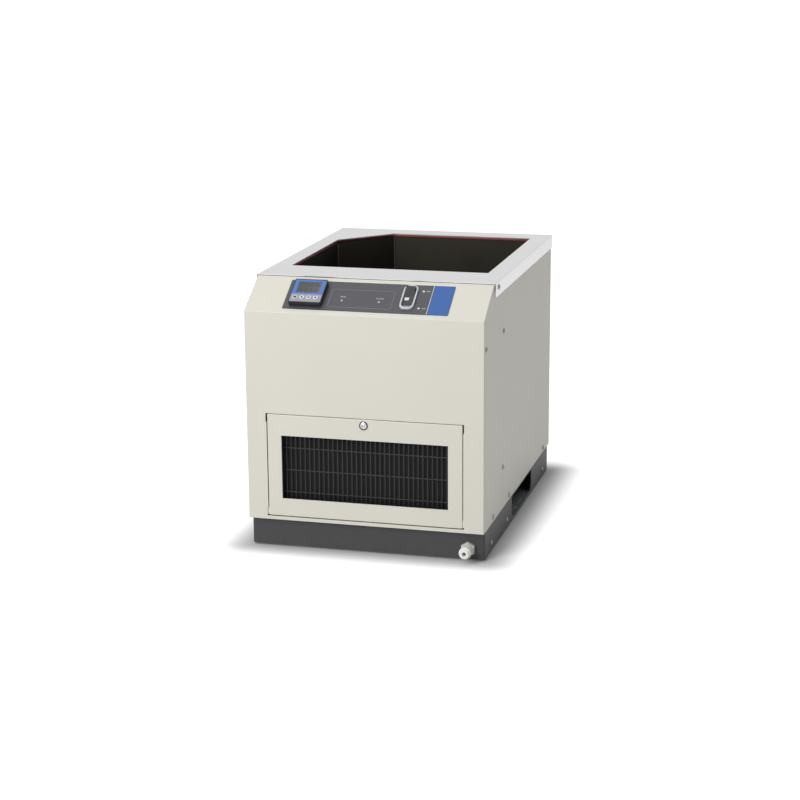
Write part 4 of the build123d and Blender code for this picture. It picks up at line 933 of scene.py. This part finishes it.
@dataclass
class Bath(Assembly):
    """Top plate, gasket, tank and its foam jacket."""

    coats: ClassVar = {
        TOP_STEEL: ("top_plate",), TANK_STEEL: ("tank",), JACKET_FOAM: ("tank_insulation",),
    }
    half_width: float = 0.1486
    front_y: float = -0.101
    back_y: float = 0.215
    cut_x: float = 0.073
    cut_y: float = 0.078
    setback: float = 0.006
    gasket_low: float = 0.3876
    gasket_high: float = 0.3914
    gasket_width: float = 0.012
    gasket_gap: float = 0.0002
    gasket_corner: float = 0.0012
    tank_floor: float = 0.2182
    # painted shadow in the gap under the top plate's front edge: its place, size and corner
    gap_shadow_front_y: float = -0.1801
    gap_shadow_low_z: float = 0.3914
    gap_shadow_size: Point = (0.349, 0.0004, 0.0008)
    gap_shadow_corner: float = 0.0001
    bead: float = 0.0013
    bead_inset: float = 0.0004
    bead_stop: float = 0.002

    def corners(self, grow: float, setback: float) -> np.ndarray:
        """Corners of the bath's opening, counterclockwise.

        Args:
            grow: how far the straight sides lie outside the tank.
            setback: how far both ends of the cut edge are moved towards the corner it cuts off.

        Returns:
            Points shaped (5, 2).
        """
        left, right = -self.half_width, self.half_width
        cut_x, cut_y = left + self.cut_x - setback, self.back_y - self.cut_y + setback
        front, back = self.front_y - grow, self.back_y + grow
        return np.array([
            (left - grow, front), (right + grow, front), (right + grow, back),
            (cut_x - grow, back), (left - grow, cut_y + grow),
        ])

    def pieces(self) -> list[Piece]:
        """The gasket, the weld beads and the painted shadow under the plate's front edge."""
        return [self.gasket(), self.welds(), self.gap_shadow()]

    def gasket(self) -> Piece:
        """The gasket: a rounded strip carried round the opening."""
        half = self.gasket_width / 2 - self.gasket_gap
        profile = smooth_loop(half, self.gasket_low, self.gasket_high, self.gasket_corner)
        profile[:, 0] += self.gasket_width / 2
        shell = Shell("gasket_strip")
        shell.band(carried(self.corners(0.0, self.setback), profile))
        gasket = shell.build(RED_SILICONE, "cabinet", "red_silicone")
        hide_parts("tank_gasket")
        return gasket

    def welds(self) -> Piece:
        """The weld beads: a thin round bead down each upright corner of the tank."""
        x, y = self.corners(self.bead_inset, 0.0).T
        high = self.gasket_low - self.bead_stop
        shell = Shell("tank_welds")
        shell.bars(spread(x, y, self.tank_floor), spread(x, y, high), self.bead)
        return shell.build(WELD, "cabinet", "tank_steel")

    def gap_shadow(self) -> Piece:
        """Painted shadow in the gap under the front edge of the top plate: a thin dark bar across the
        bath.
        """
        shell = Shell("plate_gap_shadow")
        place = Placement((0.0, self.gap_shadow_front_y, self.gap_shadow_low_z))
        shell.soft_box(self.gap_shadow_size, self.gap_shadow_corner, place)
        return shell.build(PAINTED_GAP_SHADOW, "cabinet", "black_rubber")


@dataclass
class ControlStrip(Assembly):
    """Control film with its print, the panel controller, lamps and the rocker switch.

    Places on the slope are (x, v): x across the bath and v up the slope from its lower edge.
    """

    coats: ClassVar = {
        FILM: ("panel_overlay",),
        BLACK: ("controller_case", "controller_clamp", "switch_rocker"),
        FACE: ("controller_face",),
        DISPLAY: ("controller_display",),
        BUTTON: ("button_1", "button_2", "button_3", "button_4"),
        GREEN_LENS: ("run_lamp",),
        RED_LENS: ("alarm_lamp",),
        SILVER: ("switch_bezel",),
    }
    front_y: float = -0.245
    foot_z: float = 0.3515
    run: float = 0.065
    rise: float = 0.040
    film: float = 0.001
    ink: float = 0.00012
    capital: float = 0.0024
    signs: tuple[tuple[str, float, float], ...] = (
        ("RUN", -0.0363, 0.0368), ("ALARM", 0.0179, 0.0362),
        ("ON", 0.0842, 0.0552), ("OFF", 0.0846, 0.0200),
    )
    dots: Pairs = ((0.0773, 0.0552), (0.0771, 0.0201))
    dot: float = 0.0030
    divider: Pair = (0.0904, 0.0382)
    divider_width: float = 0.0007
    divider_length: float = 0.0595
    bar_corner: float = 0.2
    frame_low: Pair = (-0.055, 0.0155)
    frame_high: Pair = (0.037, 0.052)
    frame_corner: float = 0.003
    frame_line: float = 0.0006
    controller_x: float = -0.0875
    glass_lift: float = 0.0084
    digit_rows: Pairs = ((0.0505, 0.0062), (0.0402, 0.0050))
    digit_pitch: float = 0.0074
    digit_half: float = 0.0021
    digit_level: float = 0.0036
    digit_stroke: float = 0.0006
    button_lift: float = 0.0094
    first_button_x: float = -0.1034
    button_pitch: float = 0.0102
    button_v: float = 0.024
    block_widths: tuple[float, ...] = (0.0042, 0.0024)
    block_length: float = 0.0042
    block_corner: float = 0.0008
    arrow_radius: float = 0.0028
    switch_x: float = 0.0593
    switch_v: float = 0.0405
    switch_half: float = 0.0245
    bezel_half: float = 0.0105
    well_half: float = 0.0080
    rocker_half: float = 0.0070
    ring_round: float = 0.92
    ring_edge: float = 0.4
    rim_heights: Pair = (0.0001, 0.0036)
    well_heights: Pair = (0.0026, 0.0031)
    rocker_lift: float = 0.0025
    # painted highlight on the rocker: its offset from the switch, its size and its corner
    highlight_step: Pair = (-0.0026, -0.0036)
    highlight_width: float = 0.0062
    highlight_length: float = 0.0058
    highlight_corner: float = 0.0008

    def slope(self, lift: float = 0.0) -> Placement:
        """Frame of the slope: local x across, y up the slope, z outwards, lifted off it."""
        length = math.hypot(self.run, self.rise)
        c, s = self.run / length, self.rise / length
        foot = (0.0, self.front_y, self.foot_z)
        return Placement(foot, (1.0, 0.0, 0.0), (0.0, c, s), (0.0, -s, c)).moved(0.0, 0.0, lift)

    def bar(self, shell: Shell, x: float, v: float, width: float, length: float, lift: float) -> None:
        """Add a thin printed block centred at (x, v), standing on lift."""
        place = self.slope(lift).moved(x, v)
        shell.soft_box((width, length, self.ink), min(width, length) * self.bar_corner, place)

    def pieces(self) -> list[Piece]:
        """The print, the digits, the signs on the buttons, the parts of the switch and a painted
        highlight on the rocker.
        """
        rim = self.switch_ring("switch_surround", self.bezel_half, self.well_half, self.rim_heights)
        well = self.switch_ring("switch_well", self.well_half, self.rocker_half, self.well_heights)
        return [
            self.film_print(),
            self.print_frame(),
            self.digits(),
            *self.button_marks(),
            rim.build(RIM, "cabinet", "silver_plastic"),
            well.build(BLACK, "cabinet", "black_plastic"),
            self.painted_rocker_highlight(),
        ]

    def film_print(self) -> Piece:
        """The words, the dots of the switch and the line beside the coloured field."""
        shell = Shell("film_print")
        for text, x, v in self.signs:
            points, faces = letter_points(text, self.capital)
            place = self.slope(self.film + self.ink).moved(x, v)
            first = shell.take(place.part(points))
            shell.faces += [[first + corner for corner in face] for face in faces]
        for x, v in self.dots:
            self.bar(shell, x, v, self.dot, self.dot, self.film)
        self.bar(shell, *self.divider, self.divider_width, self.divider_length, self.film)
        return shell.build(WHITE_INK_AND_HIGHLIGHT, "cabinet", "overlay")

    def print_frame(self) -> Piece:
        """The thin rounded frame line round the lamps."""
        (left, low), (right, high) = self.frame_low, self.frame_high
        tall = (high - low) / 2
        loop = smooth_loop((right - left) / 2, -tall, tall, self.frame_corner, steps=6)
        w = self.frame_line / 2
        profile = np.array([(-w, 0.0), (w, 0.0), (w, self.ink), (-w, self.ink)])
        place = self.slope(self.film).moved((left + right) / 2, (low + high) / 2)
        shell = Shell("film_frame")
        shell.band(place.part(carried(loop, profile)))
        return shell.build(GREY_INK, "cabinet", "overlay")

    def digits(self) -> Piece:
        """Two rows of faint digits on the display glass, each of upright and level strokes."""
        shell = Shell("display_digits")
        for v, tall in self.digit_rows:
            for column in range(4):
                x = self.controller_x + (column - 1.5) * self.digit_pitch
                for side in (-1, 1):
                    across = x + side * self.digit_half
                    self.bar(shell, across, v, self.digit_stroke, tall, self.glass_lift)
                for step in (-1, 0, 1):
                    up = v + step * tall / 2
                    self.bar(shell, x, up, self.digit_level, self.digit_stroke, self.glass_lift)
        return shell.build(DIM_DIGIT, "cabinet", "display_glass")

    def button_marks(self) -> list[Piece]:
        """A dark sign on each button: a wide block, a narrow block, and arrows down and up."""
        tall = self.block_length / 2
        blocks = [smooth_loop(wide / 2, -tall, tall, self.block_corner) for wide in self.block_widths]
        arrows = [circle(self.arrow_radius, 3, turn * math.pi / 2) for turn in (-1, 1)]
        marks = []
        for number, outline in enumerate(blocks + arrows):
            x = self.first_button_x + number * self.button_pitch
            place = self.slope(self.button_lift).moved(x, self.button_v)
            shell = Shell(f"button_mark_{number + 1}")
            shell.solid(place.part(prism(outline, self.ink)))
            marks.append(shell.build(DARK_INK, f"button_{number + 1}", "button_white"))
        return marks

    def switch_ring(self, name: str, outer: float, inner: float, heights: Pair) -> Shell:
        """A rounded ring about the switch, between two distances from its middle line.

        Args:
            name: the piece's name.
            outer: half of its outer width.
            inner: half of its inner width.
            heights: its underside and its crest above the film.

        Returns:
            The filled shell.
        """
        low, high = heights
        middle = (outer + inner) / 2
        tall = self.switch_half - self.bezel_half + middle
        edge = self.ring_edge * min(outer - inner, high - low)
        loop = smooth_loop(middle, -tall, tall, self.ring_round * middle, steps=8)
        profile = smooth_loop((outer - inner) / 2, low, high, edge)
        shell = Shell(name)
        place = self.slope(self.film).moved(self.switch_x, self.switch_v)
        shell.band(place.part(carried(loop, profile)))
        return shell

    def painted_rocker_highlight(self) -> Piece:
        """A painted highlight on the level half of the rocker, beside its ridge: a pale patch."""
        shell = Shell("painted_rocker_highlight")
        across, up = self.highlight_step
        place = self.slope(self.rocker_lift).moved(self.switch_x + across, self.switch_v + up)
        shell.soft_box((self.highlight_width, self.highlight_length, self.ink), self.highlight_corner, place)
        return shell.build(WHITE_INK_AND_HIGHLIGHT, "rocker", "black_plastic")


@dataclass
class FilterDoor(Assembly):
    """Door with its quarter-turn latch, the wire guard and the air filter behind it."""

    coats: ClassVar = {
        BEIGE: ("grille_door",), ZINC: ("filter_retainer",), BRIGHT: ("latch_receptacle",),
    }
    half: float = 0.1425
    low: float = 0.0523
    high: float = 0.1783
    rim_front: float = -0.2343
    rim: float = 0.003
    wire: float = 0.0017
    wire_bite: float = 0.0003
    pitch: float = 0.007
    count: int = 39
    rails: tuple[float, ...] = (0.0843, 0.1173, 0.1503)
    pad_half: float = 0.141
    pad_low: float = 0.0537
    pad_high: float = 0.1769
    pad_y: float = -0.2267
    pad_thickness: float = 0.0078
    pad_wave: float = 0.05
    pad_columns: int = 97
    pad_rows: int = 49
    latch_y: float = -0.2451
    latch_z: float = 0.1933
    latch_size: ScrewSize = ScrewSize(0.005, 0.0022, 0.0025, 0.0133, 32)
    pin_half: float = 0.0055
    pin_y: float = -0.2338
    pin_radius: float = 0.001
    washer_radius: float = 0.0056
    washer_wire: float = 0.0008
    washer_lift: float = 0.0006
    washer_sides: int = 32
    bar_sides: int = 10

    def pieces(self) -> list[Piece]:
        """The guard, the latch, its washer and the filter pad."""
        return [self.guard(), self.latch(), self.latch_ring(), self.filter_pad()]

    def facing(self, y: float, z: float) -> Placement:
        """Placement at the middle of the door's width, looking to the front."""
        return upright((0.0, y, z), (0.0, -1.0, 0.0))

    def guard(self) -> Piece:
        """The guard: round upright wires in front of three rails, in a round-bar rim."""
        shell = Shell("wire_guard")
        inset = self.rim / 2
        low, high, side = self.low + inset, self.high - inset, self.half - inset
        wire_y = self.rim_front + self.wire / 2
        rail_y = wire_y + self.wire - self.wire_bite
        x = (np.arange(self.count) - (self.count - 1) / 2) * self.pitch
        z = np.array(self.rails)
        shell.bars(spread(x, wire_y, low), spread(x, wire_y, high), self.wire / 2)
        shell.bars(spread(-side, rail_y, z), spread(side, rail_y, z), self.wire / 2)
        middle = (self.low + self.high) / 2
        loop = smooth_loop(side, low - middle, high - middle, 2 * self.rim, steps=6)
        rim = carried(loop, circle(inset, self.bar_sides))
        shell.band(self.facing(self.rim_front + inset, middle).part(rim))
        guard = shell.build(WIRE, "door", "grey_wire")
        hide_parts("filter_guard")
        return guard

    def filter_pad(self) -> Piece:
        """The foam pad behind the guard, a crowned sheet that thins to a soft edge.

        Half of its thickness at (u, v) is the full half times the square root of
        1 - max(u^20, v^10), times 1 - wave (1 + cos 9 pi u cos 5 pi v), because the rails press it
        unevenly. The front lies that far before the middle and the back that far behind.
        """
        across, up = np.linspace(-1, 1, self.pad_columns), np.linspace(-1, 1, self.pad_rows)
        u, v = np.meshgrid(across, up, indexing="ij")
        edge = np.sqrt(1 - np.maximum(u**20, v**10))
        waves = 1 - self.pad_wave * (1 + np.cos(9 * math.pi * u) * np.cos(5 * math.pi * v))
        half = self.pad_thickness / 2 * edge * waves
        height = (self.pad_low + self.pad_high) / 2 + v * (self.pad_high - self.pad_low) / 2
        shell = Shell("filter_pad")
        for side in (-1, 1):
            shell.grid(np.stack([u * self.pad_half, self.pad_y + side * half, height], axis=-1))
        pad = shell.build(FILTER_FOAM, "door", "filter_mesh", sharp=80.0)
        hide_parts("air_filter")
        return pad

    def latch(self) -> Piece:
        """The quarter-turn latch: domed cross head, shank and cross pin."""
        shell = Shell("turn_latch")
        shell.screw(self.latch_size, self.facing(self.latch_y, self.latch_z))
        ends = [spread(side * self.pin_half, self.pin_y, self.latch_z) for side in (-1, 1)]
        shell.bars(*ends, self.pin_radius)
        latch = shell.build(BRIGHT, "latch", "bright_metal")
        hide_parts("door_latch")
        return latch

    def latch_ring(self) -> Piece:
        """Dark spring washer under the latch head: a round bar bent into a ring."""
        loop = circle(self.washer_radius, self.washer_sides)
        ring = carried(loop, circle(self.washer_wire, self.bar_sides))
        shell = Shell("latch_washer")
        shell.band(self.facing(self.latch_y - self.washer_lift, self.latch_z).part(ring))
        return shell.build(DARK_STEEL, "door", "bright_metal")


class Cooling(Assembly):
    """Cold plate, modules, heat sink and the two fans."""

    coats: ClassVar = {
        ALUMINIUM: ("cold_plate", "heat_sink"),
        CERAMIC: ("peltier_modules",),
        BRIGHT: ("temperature_sensor",),
        ZINC: ("fan_bracket",),
        BLACK: ("fan_frames", "fan_rotor_left", "fan_rotor_right"),
    }


class Circulation(Assembly):
    """Pump, hoses and the drain."""

    coats: ClassVar = {
        ZINC: ("pump_bracket",),
        ALUMINIUM: ("pump_motor",),
        BLACK: ("pump_head",),
        PALE_GREY: ("pump_impeller", "drain_nut"),
        HOSE: ("suction_hose", "return_hose", "drain_hose"),
        WHITE: ("drain_elbow", "drain_body", "drain_collet"),
    }


class Power(Assembly):
    """Power supply, control board, terminals and the mains inlet."""

    coats: ClassVar = {
        ALUMINIUM: ("power_supply",),
        BOARD: ("control_board",),
        PALE_GREY: ("terminal_block",),
        BLACK: ("power_inlet",),
    }


@dataclass
class Screws(Assembly):
    """Panel and base screws: domed heads with a cross recess on round shanks."""

    size: ScrewSize = ScrewSize()
    side_x: float = 0.175
    plate_x: float = 0.1767
    base_x: float = 0.174
    rear_y: float = 0.255
    side_places: Pairs = (
        (-0.235, 0.3105), (-0.183, 0.052), (-0.116, 0.3125), (-0.116, 0.108), (-0.070, 0.052),
        (0.202, 0.052),
    )
    plate_place: Pair = (-0.160, 0.385)
    rear_places: Pairs = ((0.166, 0.078), (0.166, 0.213), (0.166, 0.348))
    base_places: Pairs = ((-0.191, 0.0155), (-0.080, 0.0155), (0.200, 0.0155))

    def side_pair(self, shell: Shell, x: float, y: float, z: float) -> None:
        """Add a screw on either side of the bath, its head outwards."""
        for side in (-1.0, 1.0):
            shell.screw(self.size, upright((side * x, y, z), (side, 0.0, 0.0)))

    def pieces(self) -> list[Piece]:
        """The two groups of screws."""
        panel = Shell("panel_screw_set")
        for y, z in self.side_places:
            self.side_pair(panel, self.side_x, y, z)
        self.side_pair(panel, self.plate_x, *self.plate_place)
        for x, z in self.rear_places:
            for side in (-1, 1):
                panel.screw(self.size, upright((side * x, self.rear_y, z), (0.0, 1.0, 0.0)))
        base = Shell("base_screw_set")
        for y, z in self.base_places:
            self.side_pair(base, self.base_x, y, z)
        panel_screws = panel.build(SCREW_STEEL, "cabinet", "bright_metal")
        base_screws = base.build(SCREW_STEEL, "cabinet", "bright_metal")
        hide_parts("panel_screws")
        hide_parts("base_screws")
        return [panel_screws, base_screws]


# Studio


def stance(x: np.ndarray, y: np.ndarray, z: np.ndarray, place: Point) -> Matrix:
    """Matrix of an object from the directions of its axes and its place."""
    rows = np.column_stack([x, y, z, place])
    return Matrix([*rows.tolist(), [0.0, 0.0, 0.0, 1.0]])


@dataclass(frozen=True)
class Lamp:
    """A square soft lamp: its place, the point it faces, its side and its power in watts."""

    name: str
    place: Point
    aim: Point
    size: float
    watts: float

    def make(self) -> None:
        """Put the lamp into the scene."""
        light = bpy.data.lights.new(self.name, "AREA")
        light.size = self.size
        light.energy = self.watts
        back = np.array(self.place) - np.array(self.aim)
        back /= np.linalg.norm(back)
        side = np.cross([0.0, 0.0, 1.0], back)
        side /= np.linalg.norm(side)
        put(self.name, light).matrix_world = stance(side, np.cross(back, side), back, self.place)


@dataclass
class Studio:
    """Camera, floor, lamps and world."""

    yaw: float = 14.939
    pitch: float = 14.127
    roll: float = -0.406
    eye: Point = (0.7280, -2.7716, 0.8923)
    focal_pixels: float = 1920.4
    frame_pixels: float = 800.0
    sensor: float = 36.0
    clip: Pair = (0.05, 100.0)
    floor_half: float = 40.0
    floor_colour: Colour = (0.6, 0.6, 0.61, 1.0)
    floor_roughness: float = 0.9
    base_half_x: float = 0.174
    base_half_y: float = 0.2405
    base_mid_y: float = 0.0075
    # painted shadow round the base: the floor's low glow at the base and the distance over which it
    # rises to glow_far
    painted_shadow_glow: float = 0.04
    glow_far: float = 0.9
    painted_shadow_reach: float = 0.075
    world_light: float = 0.34
    black: Colour = (0.0, 0.0, 0.0, 1.0)
    white: Colour = (1.0, 1.0, 1.0, 1.0)
    lamps: tuple[Lamp, ...] = (
        Lamp("key", (-1.1, -3.0, 1.7), (0.0, 0.0, 0.2), 1.6, 71.0),
        Lamp("top", (-0.3, -0.4, 2.6), (0.0, 0.0, 0.3), 1.8, 14.0),
    )

    def camera(self) -> None:
        """Put the camera where the photograph was taken from."""
        yaw, pitch, roll = (math.radians(angle) for angle in (self.yaw, self.pitch, self.roll))
        forward = np.array(
            [-math.sin(yaw) * math.cos(pitch), math.cos(yaw) * math.cos(pitch), -math.sin(pitch)]
        )
        level = np.array([math.cos(yaw), math.sin(yaw), 0.0])
        square = np.cross(level, forward)
        right = math.cos(roll) * level + math.sin(roll) * square
        up = -math.sin(roll) * level + math.cos(roll) * square
        lens = bpy.data.cameras.new("camera")
        lens.sensor_width = self.sensor
        lens.lens = self.focal_pixels / self.frame_pixels * self.sensor
        lens.clip_start, lens.clip_end = self.clip
        camera = put("camera", lens)
        camera.matrix_world = stance(right, up, -forward, self.eye)
        bpy.context.scene.camera = camera

    def floor(self) -> None:
        """Lay the floor: white to the eye away from the base, and pale grey to the lamps.

        Its glow rises from a low level at the base to glow_far a set distance out, and so paints a
        shadow round the base. The distance is the square root of beside^2 + before^2, taken from the
        base's rectangle.
        """
        half = self.floor_half
        corners = [(-half, -half, 0.0), (half, -half, 0.0), (half, half, 0.0), (-half, half, 0.0)]
        mesh = bpy.data.meshes.new("floor")
        mesh.from_pydata(corners, [], [[0, 1, 2, 3]])
        recipe = Recipe("floor")
        beside = (abs(recipe.axis("X")) - self.base_half_x).most(0.0)
        before = (abs(recipe.axis("Y") - self.base_mid_y) - self.base_half_y).most(0.0)
        # painted shadow: the floor's glow is lowered near the base
        away = (beside * beside + before * before).root().between(0.0, self.painted_shadow_reach)
        level = recipe.seen() * (self.painted_shadow_glow + (self.glow_far - self.painted_shadow_glow) * away)
        recipe.set(
            Base_Color=self.floor_colour,
            Roughness=self.floor_roughness,
            Specular_IOR_Level=0.0,
            Emission_Color=recipe.blend(level, self.black, self.white),
            Emission_Strength=1.0,
        )
        mesh.materials.append(recipe.material)
        put("floor", mesh)

    def world(self) -> None:
        """Surround the scene with plain light, and with white where the eye or gloss looks."""
        world = bpy.data.worlds.new("studio")
        bpy.context.scene.world = world
        world.use_nodes = True
        tree = Tree(world.node_tree)
        background = world.node_tree.nodes["Background"]
        tree.feed(background.inputs["Color"], self.white)
        strength = self.world_light + (1 - self.world_light) * tree.seen()
        tree.feed(background.inputs["Strength"], strength)

    def make(self) -> None:
        """Set up the studio."""
        bpy.context.scene.view_settings.view_transform = "Standard"
        self.camera()
        self.floor()
        self.world()
        for lamp in self.lamps:
            lamp.make()
        report.info("Studio: camera, floor, lamps and world set")


def main() -> None:
    """Build the studio and every sub-assembly in order."""
    logging.basicConfig(level=logging.INFO, format="%(message)s")
    Studio().make()
    for assembly in (
        Cabinet(), Bath(), ControlStrip(), FilterDoor(), Cooling(), Circulation(), Power(), Screws(),
    ):
        assembly.make()


if __name__ == "__main__":
    main()
